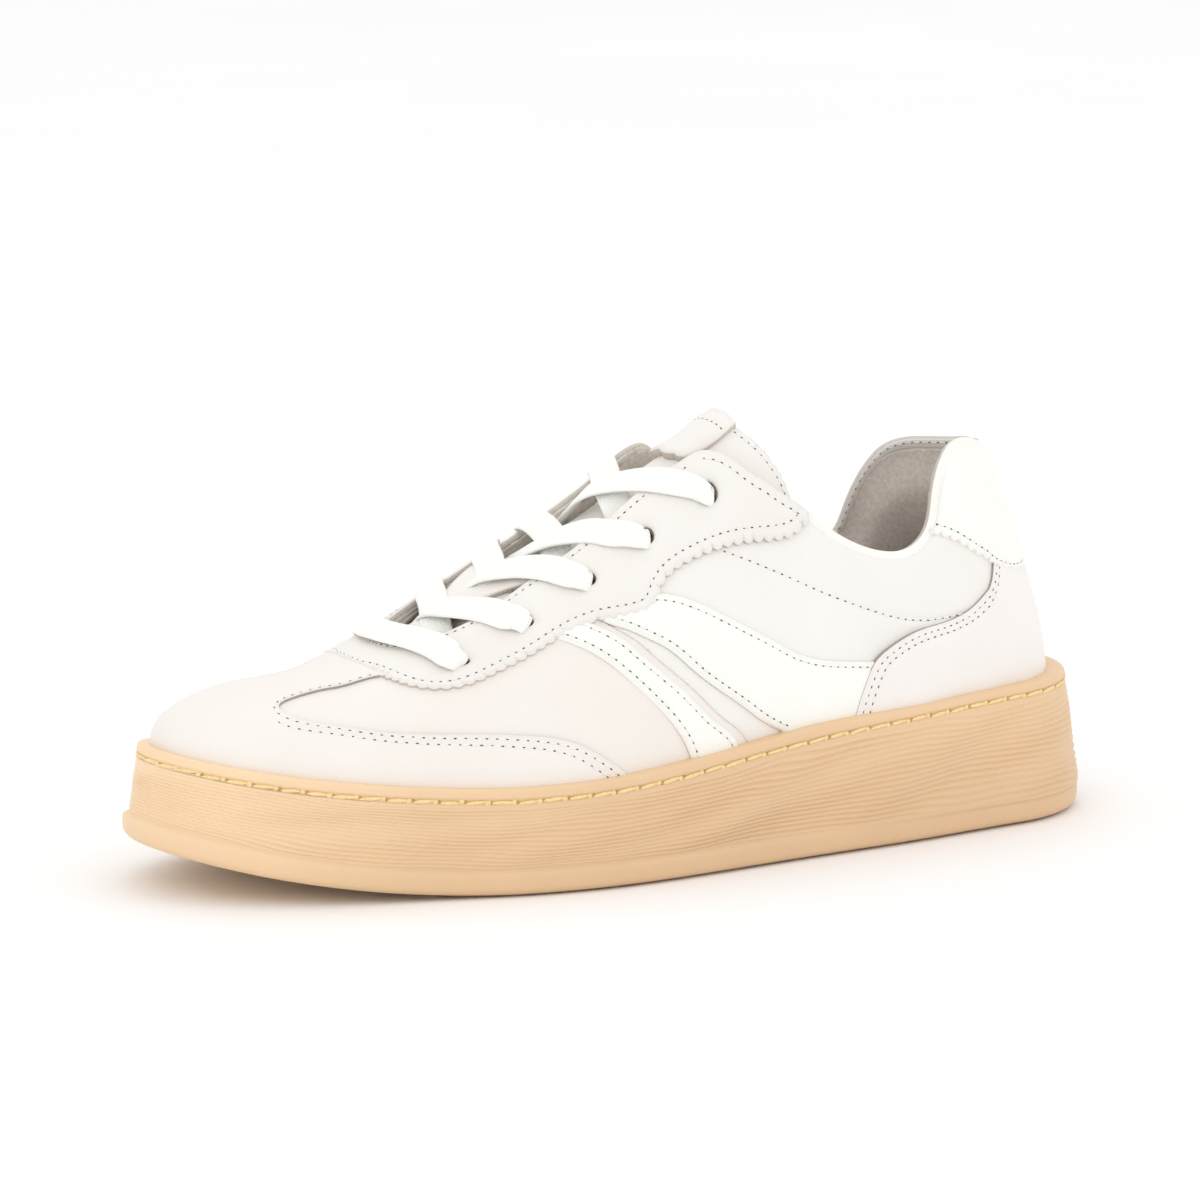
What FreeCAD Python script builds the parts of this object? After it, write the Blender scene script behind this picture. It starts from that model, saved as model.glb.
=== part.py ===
"""Left court shoe with a gum cupsole: outsole, upper panels, linings, tongue, lace and footbed.

The shoe is laid out in its own lengthwise coordinates, all in millimetres:
  f  distance forward from the back of the heel (0) to the tip of the toe (LENGTH)
  o  distance outward from the centre line, positive on the lateral (outer) side
  w  height above the feather line, where the upper meets the lip of the sole
The parts are written with X = lateral, -Y = toe and Z = up, on the ground, centred on the sole.

Every panel of the upper is cut from one closed surface, the last.  A panel is drawn on a flat chart
(a, b): a runs along the foot and b runs round it from the instep, so b = 0 is the centre line of the
instep and the feather line is at b of about 90.  Beyond both ends of the spine the chart is polar.
"""
import FreeCAD, Part
import math
import os
from bisect import bisect_right

V = FreeCAD.Vector

# ---- driving dimensions (mm) ----
LENGTH = 275.0                 # outsole, heel to toe
TOE_SPRING = 12.6              # rise of the sole's underside at the toe
SPRING_START = 190.0           # where that rise begins
WALL_DRAFT = 4.3               # the sole wall leans in by this much from the ground to the lip
BAND_HEIGHT = 6.5              # smooth band round the foot of the sole
BAND_DRAFT = 0.9
LIP_INNER = 7.2                # inset of the lip's inner face
WALL_SPAN = 24.0               # height over which the wall leans from the band to the lip
CUP_DEPTH = 5.6                # the upper stands this deep in the cup of the sole
FLOOR_STEP = 0.6               # the cup's floor steps down by this much inside the upper's seat
HEEL_FLOOR = 9.0               # rubber left under the heel filler
FILLER_INSET = 13.0
FILLER_TAPER = 90.0            # the filler's hollow begins to rise here
FILLER_END = 165.0             # and has risen to the cup's floor here
FILLER_LENGTH = 150.0
FILLER_GAP = 0.5               # round the filler
FOOTBED_INSET = 13.8
BOARD_TOP = 1.9                # above the cup's floor
FOOTBED_RISE = 0.2             # top of the footbed, above the lip
TIP_WIDTH = 3.0                # flat left at the very tip of each outline
GROUND_CUT = 1.0               # the sole is made this much too deep, then cut level at the ground
GROOVE_TOP = 3.5               # stitch groove, below the top of the lip
GROOVE_HEIGHT = 1.8
GROOVE_DEPTH = 0.9
GROOVE_SLOPE = 0.2             # the groove narrows by this much at its bottom, top and bottom
THREAD_HALF = 0.4              # half the height of the thread line that runs in the groove
THREAD_OUT = 0.1               # the thread sits this deep in the groove
THREAD_IN = 0.15               # and this far clear of its bottom
UPPER_INSET = 8.6              # base leather's outer face at the feather line
UPPER_BOTTOM = -4.0            # lower edge of the upper, inside the cup
HEEL_ROUND = 34.0              # length of the rounded heel of the outline
TOE_ROUND = 60.0
FLEX_LINE = 195.0              # the sole bends across this line, under the ball of the foot
FLEX_GAP = 0.2
EYELET_RADIUS = 2.1
LACE_RADIUS = 1.5              # lace gathered where it passes an eyelet
LACE_WIDTH = 7.6
SPINE_HEEL = 40.0              # ends of the chart's spine
SPINE_TOE = 215.0
SPINE_HEIGHT = 8.0
CHART_RADIUS = 50.0
FAN = 70.0                     # perimeter coordinate spent on a quarter turn round heel or toe
HEEL_CENTRE = 2 * FAN + SPINE_TOE - SPINE_HEEL

# ---- layers of the upper: offsets from the outer face of the base leather ----
OVERLAY = (0.3, 1.2)
FACING = (0.3, 1.5)
BASE = (-1.1, 0.0)
MIDDLE = (-2.6, -1.4)
LINING = (-3.6, -3.0)
BINDING = (-3.6, 0.0)
LACE_TOP = (1.7, 2.6)
LACE_UNDER = (-4.8, -3.9)
TONGUE_SKIN = (-6.2, -5.1)
TONGUE_PAD = (-8.8, -6.4)
TONGUE_BACK = (-9.6, -9.0)
LABEL = (-4.9, -4.0)
PUNCH = (-4.5, 3.0)            # reach of an eyelet punch through the whole facing
EDGE_GAP = 0.6                 # between panels that meet edge to edge
BESIDE = 0.3                   # smallest gap left between neighbouring pieces


class Curve:
    """Natural cubic curve through (position, value) pairs."""

    def __init__(self, *points):
        self.x = [float(p[0]) for p in points]
        self.y = [float(p[1]) for p in points]
        n = len(points)
        gaps = [self.x[i + 1] - self.x[i] for i in range(n - 1)]
        slopes = [(self.y[i + 1] - self.y[i]) / gaps[i] for i in range(n - 1)]
        upper = [0.0] * n
        bend = [0.0] * n
        for i in range(1, n - 1):
            pivot = 2 * (gaps[i - 1] + gaps[i]) - gaps[i - 1] * upper[i - 1]
            upper[i] = gaps[i] / pivot
            bend[i] = (6 * (slopes[i] - slopes[i - 1]) - gaps[i - 1] * bend[i - 1]) / pivot
        for i in range(n - 2, 0, -1):
            bend[i] -= upper[i] * bend[i + 1]
        self.bend = bend

    def __call__(self, x):
        x = min(max(x, self.x[0]), self.x[-1])
        i = min(max(bisect_right(self.x, x) - 1, 0), len(self.x) - 2)
        h = self.x[i + 1] - self.x[i]
        p = (self.x[i + 1] - x) / h
        q = 1 - p
        curved = (p ** 3 - p) * self.bend[i] + (q ** 3 - q) * self.bend[i + 1]
        return p * self.y[i] + q * self.y[i + 1] + curved * h * h / 6


# ---- the sole's outline and profile ----
SOLE_HEIGHT = Curve((0, 38.7), (30, 38.2), (100, 33.9), (170, 27.1), (220, 27.1), (275, 25.3))
LATERAL_HALF = Curve((0, 35.5), (30, 37.3), (70, 43), (110, 47), (150, 51.5), (170, 52),
                     (190, 49.5), (218, 42.5), (246, 39.5), (275, 39.5))
MEDIAL_HALF = Curve((0, 35), (30, 34.2), (70, 33), (110, 36.5), (150, 44), (190, 51),
                    (222, 48), (252, 45), (275, 46))
SWING_START = 150.0
TOE_SWING = 5.0                # the toe swings this far to the medial side
CENTRE_SHIFT = 0.2             # puts the widest points at equal distances from X = 0

# ---- the last ----
INSTEP = Curve((-10, 92), (30, 91), (60, 89), (90, 85.5), (105, 80.6), (122, 74), (142, 64.5),
               (160, 55.5), (177, 46.3), (195, 36), (208, 29.5), (217, 25.5), (226, 22),
               (237, 19.8), (248, 19), (259, 17.4), (272, 17))
INSTEP_TIP = 268.0
TOE_DROP = 40.0                # length over which the toe box comes down to the lip
FLANK = Curve((0, 1.6), (60, 1.5), (120, 1.25), (180, 1.5), (220, 2.0), (275, 2.2))
CROWN = Curve((0, 0.5), (60, 0.5), (120, 0.42), (180, 0.45), (220, 0.5), (275, 0.5))
HEEL_BACK = (9.3, 0.14, 0.002)  # how far forward the back of the heel leans as it rises


def underside(f):
    if f <= SPRING_START:
        return 0.0
    return TOE_SPRING * ((f - SPRING_START) / (LENGTH - SPRING_START)) ** 2


def feather(f):
    f = min(max(f, 0.0), LENGTH)
    return underside(f) + SOLE_HEIGHT(f)


def centre(f):
    if f <= SWING_START:
        return 0.0
    return -TOE_SWING * ((f - SWING_START) / (LENGTH - SWING_START)) ** 2


def rounded(t):
    t = min(max(t, 0.0), 1.0)
    return math.sqrt(max(1 - (1 - t) ** 2, 0.0))


def half_width(f, side, inset, back=None):
    back = inset if back is None else back
    full = (LATERAL_HALF(f) if side > 0 else MEDIAL_HALF(f)) - inset
    heel = rounded((f - back) / (HEEL_ROUND - inset))
    toe = rounded((LENGTH - inset - f) / (TOE_ROUND - inset))
    return full * heel * toe


def heel_back(w):
    return HEEL_BACK[0] + HEEL_BACK[1] * w + HEEL_BACK[2] * w * w


def inside_last(f, o, z):
    w = z - feather(f)
    height = max(w, 0.0)
    back = heel_back(height)
    if f <= back or f >= INSTEP_TIP:
        return False
    ridge = INSTEP(f) * rounded((INSTEP_TIP - f) / TOE_DROP)
    if w >= ridge:
        return False
    across = o - centre(f)
    side = 1 if across >= 0 else -1
    q = min(height / max(ridge, 1e-6), 1.0)
    narrowing = max(1 - q ** FLANK(f), 0.0) ** CROWN(f)
    return abs(across) < half_width(f, side, UPPER_INSET, back) * narrowing


def last_point(a, b):
    """Where the chart's ray for (a, b) leaves the last."""
    s = min(max(a, SPINE_HEEL), SPINE_TOE)
    along = a - s
    r = math.hypot(along, b)
    angle = r / CHART_RADIUS
    sideways = math.sin(angle) / max(r, 1e-9)
    step = (along * sideways, b * sideways, math.cos(angle))
    origin = (s, centre(s), feather(s) + SPINE_HEIGHT)
    near, far = 0.0, 170.0
    for _ in range(30):
        middle = (near + far) / 2
        if inside_last(*(origin[k] + middle * step[k] for k in range(3))):
            near = middle
        else:
            far = middle
    return V(*(origin[k] + near * step[k] for k in range(3)))


def last_normal(a, b, h=0.5):
    across = last_point(a, b + h) - last_point(a, b - h)
    along = last_point(a + h, b) - last_point(a - h, b)
    normal = along.cross(across)
    return normal.normalize()


def to_world(p):
    return V(p.y - CENTRE_SHIFT, LENGTH / 2 - p.x, p.z)


# ---- drawing on the chart: a path is a function of t in 0..1 that gives (a, b) ----
def path(*points):
    """Smooth path through a few chart points, with t in proportion to the distance run."""
    run = [0.0]
    for (a0, b0), (a1, b1) in zip(points, points[1:]):
        run.append(run[-1] + math.hypot(a1 - a0, b1 - b0))
    curve_a = Curve(*[(s, p[0]) for s, p in zip(run, points)])
    curve_b = Curve(*[(s, p[1]) for s, p in zip(run, points)])
    return lambda t: (curve_a(t * run[-1]), curve_b(t * run[-1]))


def both_sides(points):
    """Path from the last of the points, over the centre line, to its mirror image."""
    mirrored = [(a, -b) for a, b in points if b > 0]
    return path(*(list(reversed(points)) + mirrored))


def shifted(line, distance):
    """The same path moved sideways; positive moves it away from the instep's centre line."""

    def moved(t):
        a0, b0 = line(max(t - 0.01, 0))
        a1, b1 = line(min(t + 0.01, 1))
        run = math.hypot(a1 - a0, b1 - b0)
        a, b = line(t)
        return a - distance * (b1 - b0) / run, b + distance * (a1 - a0) / run

    return moved


def part_of(line, start, end):
    return lambda t: line(start + t * (end - start))


def mirrored_path(line):
    return lambda t: (line(t)[0], -line(t)[1])


def perimeter(a):
    """Perimeter coordinate, from the tip of the toe, of a station on the straight of the spine."""
    return FAN + SPINE_TOE - a


def heading(u):
    """Spine station and outward direction (along, across) at a perimeter coordinate."""
    if u > HEEL_CENTRE:
        u -= 2 * HEEL_CENTRE
    side = 1.0 if u >= 0 else -1.0
    u = abs(u)
    straight = SPINE_TOE - SPINE_HEEL
    if u < FAN:
        angle = math.pi / 2 * u / FAN
        return SPINE_TOE, math.cos(angle), side * math.sin(angle)
    if u <= FAN + straight:
        return SPINE_TOE - (u - FAN), 0.0, side
    angle = math.pi / 2 * (u - FAN - straight) / FAN
    return SPINE_HEEL, -math.sin(angle), side * math.cos(angle)


def wall(u, w):
    """Chart point on the side of the last at height w, at a perimeter coordinate."""
    s, along, across = heading(u)
    base = feather(s)
    near, far = 0.0, 90.0
    for _ in range(28):
        middle = (near + far) / 2
        f, o = s + along * middle, centre(s) + across * middle
        if inside_last(f, o, feather(f) - 1.0):
            near = middle
        else:
            far = middle
    drop = base + SPINE_HEIGHT - (feather(s + along * near) + w)
    r = CHART_RADIUS * (math.pi / 2 + math.atan2(drop, near))
    return s + along * r, across * r


def wall_path(start, end, w):
    return lambda t: wall(start + t * (end - start), w)


# ---- solids ----
def stations(spans):
    """Parameters of a clamped cubic's control points when its spans are even."""
    return [0.0, 1 / (3 * spans)] + [i / spans for i in range(1, spans)] + [1 - 1 / (3 * spans), 1.0]


def sharpened(points):
    """Control points that make a cubic run through a row of evenly spaced points."""
    inner = [points[i] + (points[i] * 2 - points[i - 1] - points[i + 1]) * (1 / 6)
             for i in range(2, len(points) - 2)]
    return points[:2] + inner + points[-2:]


def smooth_surface(rows):
    """Cubic surface through a grid of points that was taken at the clamped stations."""
    rows = [sharpened(row) for row in rows]
    columns = [sharpened(list(column)) for column in zip(*rows)]
    poles = [list(row) for row in zip(*columns)]
    spans = [len(poles) - 3, len(poles[0]) - 3]
    ends = [[4] + [1] * (count - 1) + [4] for count in spans]
    knots = [[float(i) for i in range(count + 1)] for count in spans]
    surface = Part.BSplineSurface()
    surface.buildFromPolesMultsKnots(poles, ends[0], ends[1], knots[0], knots[1], False, False, 3, 3)
    return surface


def ruled(first, second):
    return Part.makeRuledSurface(first, second, 1)


def solid_from(faces):
    shape = Part.makeCompound(faces)
    shape.sewShape()
    solid = Part.Solid(shape.Shells[0])
    if solid.Volume < 0:
        solid.reverse()
    return solid


def edge_curves(surface):
    u0, u1, v0, v1 = surface.bounds()
    return [surface.uIso(u0), surface.uIso(u1), surface.vIso(v0), surface.vIso(v1)]


def panel(first, second, layer, columns=24, rows=6):
    """Sheet between two chart paths, lying between the two offsets of its layer."""
    inner_rows, outer_rows = [], []
    for t in stations(columns):
        a0, b0 = first(t)
        a1, b1 = second(t)
        inner_row, outer_row = [], []
        for k in stations(rows):
            a, b = a0 + k * (a1 - a0), b0 + k * (b1 - b0)
            point, normal = last_point(a, b), last_normal(a, b)
            inner_row.append(to_world(point + normal * layer[0]))
            outer_row.append(to_world(point + normal * layer[1]))
        inner_rows.append(inner_row)
        outer_rows.append(outer_row)
    inner, outer = smooth_surface(inner_rows), smooth_surface(outer_rows)
    faces = [inner.toShape(), outer.toShape()]
    for low, high in zip(edge_curves(inner), edge_curves(outer)):
        faces.append(ruled(low.toShape(), high.toShape()))
    return solid_from(faces)


def chart_rod(a, b, layer, radius):
    """Round rod square to the last at a chart point."""
    point, normal = last_point(a, b), last_normal(a, b)
    start, end = to_world(point + normal * layer[0]), to_world(point + normal * layer[1])
    return Part.makeCylinder(radius, (end - start).Length, start, end - start)


def half_ring(side, inset, height, start, end, count=48):
    """Half of the sole's outline at an inset, as a curve from one station to another."""
    low, high = max(start, inset), min(end, LENGTH - inset)
    points = []
    for i in range(count + 1):
        f = low + (high - low) * (1 - math.cos(math.pi * i / count)) / 2
        tip = i in (0, count)
        blunt = TIP_WIDTH / 2 if tip and f in (inset, LENGTH - inset) else 0.0
        o = centre(f) + side * max(half_width(f, side, inset), blunt)
        points.append(to_world(V(f, o, height(f))))
    curve = Part.BSplineCurve()
    curve.interpolate(points, Parameters=[i / count for i in range(count + 1)])
    return curve.toShape()


def polygon(corners):
    return Part.Face(Part.makePolygon(corners + corners[:1]))


def ring_solid(rings, start=0.0, end=LENGTH, closed=False):
    """Solid between outlines (inset, height) taken in order; closed joins the last to the first."""
    count = len(rings)
    halves = {side: [half_ring(side, inset, height, start, end) for inset, height in rings]
              for side in (1, -1)}
    pairs = [(k, k + 1) for k in range(count - 1)]
    if closed:
        pairs.append((count - 1, 0))
    faces = [ruled(halves[side][low], halves[side][high]) for low, high in pairs for side in (1, -1)]
    if not closed:
        faces += [ruled(halves[1][k], halves[-1][k]) for k in (0, count - 1)]
    for tip, is_cut in ((0, start > 0), (-1, end < LENGTH)):
        lateral = [halves[1][k].Vertexes[tip].Point for k in range(count)]
        medial = [halves[-1][k].Vertexes[tip].Point for k in range(count)]
        if is_cut:
            faces.append(polygon(lateral + medial[::-1]))
        else:
            faces += [polygon([lateral[low], lateral[high], medial[high], medial[low]])
                      for low, high in pairs]
    return solid_from(faces)


# ---- sole ----
def at_feather(rise):
    return lambda f: feather(f) + rise


def at_underside(rise):
    return lambda f: underside(f) + rise


def wall_inset(drop):
    """Inset of the sole wall at a depth below the top of the lip."""
    return WALL_DRAFT - (WALL_DRAFT - BAND_DRAFT) * drop / WALL_SPAN


def cup_floor(f):
    """Deep under the heel for the filler, shallow under the ball of the foot."""
    deep = underside(f) + HEEL_FLOOR
    shallow = feather(f) - CUP_DEPTH - FLOOR_STEP
    blend = min(max((f - FILLER_TAPER) / (FILLER_END - FILLER_TAPER), 0.0), 1.0)
    blend = blend * blend * (3 - 2 * blend)
    return deep + blend * (shallow - deep)


def filler_bottom(f):
    return cup_floor(f) + BESIDE


def outsole(start, end):
    groove_low = GROOVE_TOP + GROOVE_HEIGHT
    floor = cup_floor if start < FILLER_END else at_feather(-CUP_DEPTH)
    buried = GROUND_CUT if start < FILLER_END else 0.0
    rings = [
        (-buried * BAND_DRAFT / BAND_HEIGHT, at_underside(-buried)),
        (BAND_DRAFT, at_underside(BAND_HEIGHT)),
        (wall_inset(groove_low), at_feather(-groove_low)),
        (wall_inset(groove_low) + GROOVE_DEPTH, at_feather(-groove_low + GROOVE_SLOPE)),
        (wall_inset(GROOVE_TOP) + GROOVE_DEPTH, at_feather(-GROOVE_TOP - GROOVE_SLOPE)),
        (wall_inset(GROOVE_TOP), at_feather(-GROOVE_TOP)),
        (WALL_DRAFT, at_feather(0.0)),
        (LIP_INNER, at_feather(0.0)),
        (LIP_INNER, at_feather(-CUP_DEPTH)),
    ]
    if start < FILLER_END:
        hollow = FILLER_INSET - FILLER_GAP
        rings += [(hollow, at_feather(-CUP_DEPTH)), (hollow, floor)]
    body = ring_solid(rings, start, end)
    if buried:
        below = Part.makeBox(LENGTH, 2 * LENGTH, 2 * buried, V(-LENGTH / 2, -LENGTH, -2 * buried))
        body = body.cut(below)
    return body


def build_sole():
    middle = GROOVE_TOP + GROOVE_HEIGHT / 2
    outer = wall_inset(middle) + THREAD_OUT
    inner = wall_inset(middle) + GROOVE_DEPTH - THREAD_IN
    low, high = at_feather(-middle - THREAD_HALF), at_feather(-middle + THREAD_HALF)
    board_bottom = at_feather(-CUP_DEPTH + BESIDE)
    board_top = at_feather(-CUP_DEPTH + BOARD_TOP)
    footbed_bottom = at_feather(-CUP_DEPTH + BOARD_TOP + BESIDE)
    return {
        "outsole_rearfoot": outsole(0.0, FLEX_LINE - FLEX_GAP / 2),
        "outsole_forefoot": outsole(FLEX_LINE + FLEX_GAP / 2, LENGTH),
        "sole_stitching": ring_solid([(outer, low), (inner, low), (inner, high), (outer, high)],
                                     closed=True),
        "heel_filler": ring_solid([(FILLER_INSET, filler_bottom),
                                   (FILLER_INSET, at_feather(-CUP_DEPTH - FLEX_GAP))],
                                  0.0, FILLER_LENGTH),
        "insole_board": ring_solid([(FOOTBED_INSET, board_bottom), (FOOTBED_INSET, board_top)]),
        "footbed": ring_solid([(FOOTBED_INSET, footbed_bottom),
                               (FOOTBED_INSET, at_feather(FOOTBED_RISE))]),
    }


# ---- panel outlines on the chart, lateral side (medial panels are mirrored) ----
THROAT = [(206, 0), (205, 12), (200, 22), (189, 24.5), (176, 20.5), (157, 16), (138, 11.3), (123, 9.9)]
FACING_EDGE = [(219.5, 0), (218.5, 12), (215.5, 30), (212, 44), (206, 51.5), (199, 52.8), (190, 50),
               (179, 45.5), (168, 40.7), (160, 39.7), (149, 40.3), (145.5, 39.3), (142, 35),
               (138, 32), (132, 30.4), (122, 29.4), (109, 30.2), (100, 29.8), (96, 27.5)]
COLLAR = [(27, 0), (29, 7), (34, 12), (43.6, 16.7), (50, 19.3), (53.6, 25), (56.8, 31.7), (61, 36.8),
          (67, 39.4), (74.3, 39.1), (82, 36.6), (89, 32.8), (96, 27.5)]
SEAM_TOP = (171.0, 19.3)       # where vamp and quarter meet at the throat
SEAM_BOTTOM = 131.0            # and the station where that seam reaches the feather line
TOE_WINDOW_TIP = (271, 27.5)
EYELETS = [(122.5, 19.6), (142.0, 23.2), (160.0, 28.4), (178.5, 35.0), (196.5, 43.0)]
NARROW_FRONT = path((174.5, 44.4), (165, 49.2), (155, 62), (146, 76.5), (141, 85))
NARROW_REAR = path((163, 40.6), (155, 47.8), (143.5, 63.5), (132, 79.5), (127, 85.5))
WIDE_FRONT = path((158.5, 41.2), (148.5, 48.7), (138, 60), (123, 77.1), (113, 86.5), (107, 90),
                  (98, 90.6), (90, 90.6))
WIDE_REAR = path((147, 41.4), (138.3, 38.6), (130, 43.2), (120.5, 50.4), (110.6, 58.6), (103.6, 64.6),
                 (95, 69), (84, 72.4))
COUNTER_EDGE = [(-1, 0), (6, 27), (19.2, 39.6), (29.5, 43.4), (35, 44.6), (37.5, 48.5), (41.8, 54),
                (47.9, 59.4), (56.7, 62.8), (66.3, 64.5), (74.4, 68.1), (80.6, 72.9), (84, 79.5)]
TAB_EDGE = [(0, 0), (7, 26), (20, 38.6), (30, 42.1), (38.2, 41.4), (43.7, 39), (50, 36), (57, 33.9)]
WINDOW_UPPER = [(205, 42), (214.5, 36.9), (237.8, 32.6), (258.5, 26.1), TOE_WINDOW_TIP]
WINDOW_LOWER = [(150, 79), (172, 78), (188, 73.2), (209, 71.8), (222, 70.7), (241, 64), (259, 50),
                (268, 38), TOE_WINDOW_TIP]
WINDOW_PUNCH = (-0.6, 3.0)
BAR_EDGE = [(220.3, 0), (219.3, 12), (216.3, 30), (213, 43), (209, 55), (190, 64), (172, 77), (163, 85)]
OVERLAY_END = 158.0            # the toe overlay's lower edge ends at this station
COUNTER_END = 88.5
STIFFENER_TOP = [(9, 0), (14, 22), (28, 40), (44, 49), (56, 55), (70, 61), (80, 70)]
STIFFENER_END = 84.0
PUFF_EDGE = [(226, 64), (238, 36), (241, 0), (238, -36), (226, -64)]
PUFF_END = 46.0                # perimeter coordinate
COLLAR_ROLL = (1.8, 0.5)       # the binding, measured from the collar's edge
COLLAR_PAD = (-1.0, -12.0)


def on_side(side, *paths):
    return paths if side > 0 else tuple(mirrored_path(line) for line in paths)


def throat_to(a_end):
    return [p for p in THROAT if p[0] > a_end]


def vamp_paths(bottom):
    inner = both_sides(throat_to(SEAM_TOP[0]) + [SEAM_TOP])
    u = perimeter(SEAM_BOTTOM)
    return inner, wall_path(u, -u, bottom)


def quarter_paths(bottom, side):
    start = (SEAM_TOP[0] - EDGE_GAP, SEAM_TOP[1] - 0.2)
    edge = [start] + [p for p in THROAT if p[0] < start[0]]
    top_edge = [(110, 18), COLLAR[-1]]
    top = path(*(edge + top_edge + COLLAR[-2::-1]))
    foot = wall_path(perimeter(SEAM_BOTTOM - EDGE_GAP), HEEL_CENTRE - EDGE_GAP / 2, bottom)
    heel = part_of(top, 0.0, 0.998)
    if side > 0:
        return heel, foot
    return mirrored_path(heel), mirrored_path(foot)


def toe_overlay():
    u = perimeter(OVERLAY_END)
    whole = panel(both_sides(BAR_EDGE), wall_path(u, -u, UPPER_BOTTOM + BESIDE), OVERLAY, 64, 18)
    upper, lower = (part_of(path(*points), 0, 0.985) for points in (WINDOW_UPPER, WINDOW_LOWER))
    for side in (1, -1):
        whole = whole.cut(panel(*on_side(side, upper, lower), WINDOW_PUNCH, 30, 6))
    return whole


def reinforcing_strip(side):
    inner = path((122, 13), (142, 16), (160, 20.5), (178, 26), (199, 33))
    outer = path((104, 27), (122, 27.4), (142, 31), (160, 36.5), (178, 43), (199, 50))
    return panel(*on_side(side, inner, outer), MIDDLE, 24, 4)


def tongue_sheet(layer, narrower=0.0):
    top = path((99.5, 25 - narrower), (104, 17.5), (108, 8), (109.5, 0), (108, -8), (104, -17.5),
               (99.5, narrower - 25))
    foot = path((199, 27 - narrower), (207, 14), (209, 0), (207, -14), (199, narrower - 27))
    return panel(top, foot, layer, 16, 16)


def build_linings():
    collar = both_sides(COLLAR)
    stiffener_foot = wall_path(perimeter(STIFFENER_END), 2 * HEEL_CENTRE - perimeter(STIFFENER_END),
                               UPPER_BOTTOM + 0.5)
    parts = {
        "vamp_lining": panel(*vamp_paths(UPPER_BOTTOM), LINING, 64, 22),
        "toe_puff": panel(path(*PUFF_EDGE), wall_path(PUFF_END, -PUFF_END, UPPER_BOTTOM + 0.5),
                          MIDDLE, 32, 12),
        "heel_stiffener": panel(both_sides(STIFFENER_TOP), stiffener_foot, MIDDLE, 48, 8),
        "collar_foam": panel(*(shifted(collar, reach) for reach in COLLAR_PAD), MIDDLE, 72, 6),
    }
    for side, name in ((1, "lateral"), (-1, "medial")):
        parts["quarter_lining_" + name] = panel(*quarter_paths(UPPER_BOTTOM, side), LINING, 80, 12)
        parts["eyelet_backing_" + name] = reinforcing_strip(side)
    return parts


def build_upper():
    counter_foot = wall_path(perimeter(COUNTER_END), 2 * HEEL_CENTRE - perimeter(COUNTER_END),
                             UPPER_BOTTOM + BESIDE)
    collar = both_sides(COLLAR)
    parts = {
        "vamp": panel(*vamp_paths(UPPER_BOTTOM), BASE, 64, 22),
        "toe_overlay": toe_overlay(),
        "eyestay": panel(both_sides(THROAT), both_sides(FACING_EDGE), FACING, 64, 6),
        "heel_counter_overlay": panel(both_sides(COUNTER_EDGE), counter_foot, OVERLAY, 56, 10),
        "heel_tab": panel(both_sides(COLLAR[:7]), both_sides(TAB_EDGE), OVERLAY, 56, 8),
        "collar_binding": panel(*(shifted(collar, reach) for reach in COLLAR_ROLL), BINDING, 72, 2),
    }
    for side, name in ((1, "lateral"), (-1, "medial")):
        parts["quarter_" + name] = panel(*quarter_paths(UPPER_BOTTOM, side), BASE, 80, 12)
        parts["narrow_stripe_" + name] = panel(*on_side(side, NARROW_FRONT, NARROW_REAR), OVERLAY, 16, 4)
        parts["wide_stripe_" + name] = panel(*on_side(side, WIDE_FRONT, WIDE_REAR), OVERLAY, 20, 6)
    return parts


def build_tongue():
    label = panel(path((109.5, 10.5), (110.7, 5), (111, 0), (110.7, -5), (109.5, -10.5)),
                  path((122, 7.5), (125, 4), (126, 0), (125, -4), (122, -7.5)), LABEL, 10, 4)
    return {
        "tongue": tongue_sheet(TONGUE_SKIN),
        "tongue_foam": tongue_sheet(TONGUE_PAD, 1.5),
        "tongue_lining": tongue_sheet(TONGUE_BACK),
        "tongue_label": label,
    }


def lace_bar(eyelet):
    """Straight bar over the throat, between the two eyelets at one level."""
    a, b = eyelet
    half = LACE_WIDTH / 2
    ahead = path((a + half, b), (a + half + 1, b / 2), (a + half + 1, 0), (a + half + 1, -b / 2),
                 (a + half, -b))
    behind = path((a - half, b), (a - half + 1, b / 2), (a - half + 1, 0), (a - half + 1, -b / 2),
                  (a - half, -b))
    return panel(ahead, behind, LACE_TOP, 16, 2)


def lace_diagonal(start, end):
    """Run under the facings, from a medial eyelet to the next lateral one up."""
    half = LACE_WIDTH / 2 - 0.5
    (a0, b0), (a1, b1) = start, end
    ahead = path((a0 + half, -b0), ((a0 + a1) / 2 + half, 0), (a1 + half, b1))
    behind = path((a0 - half, -b0), ((a0 + a1) / 2 - half, 0), (a1 - half, b1))
    return panel(ahead, behind, LACE_UNDER, 16, 2)


def build_lace():
    pieces = [lace_bar(eyelet) for eyelet in EYELETS]
    pieces += [lace_diagonal(start, end) for start, end in zip(EYELETS[1:], EYELETS)]
    through = (LACE_UNDER[0] + 0.2, LACE_TOP[0] + 0.4)
    ends = [(a, side * b) for a, b in EYELETS for side in (1, -1)]
    pieces += [chart_rod(a, b, through, LACE_RADIUS) for a, b in ends]
    return pieces[0].fuse(pieces[1:])


def punch_eyelets(parts):
    names = ("eyestay", "vamp", "vamp_lining", "quarter_lateral", "quarter_medial",
             "quarter_lining_lateral", "quarter_lining_medial", "eyelet_backing_lateral",
             "eyelet_backing_medial")
    for a, b in EYELETS:
        for side in (1, -1):
            rod = chart_rod(a, side * b, PUNCH, EYELET_RADIUS)
            for name in names:
                if parts[name].distToShape(rod)[0] < 0.01:
                    parts[name] = parts[name].cut(rod)


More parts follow.
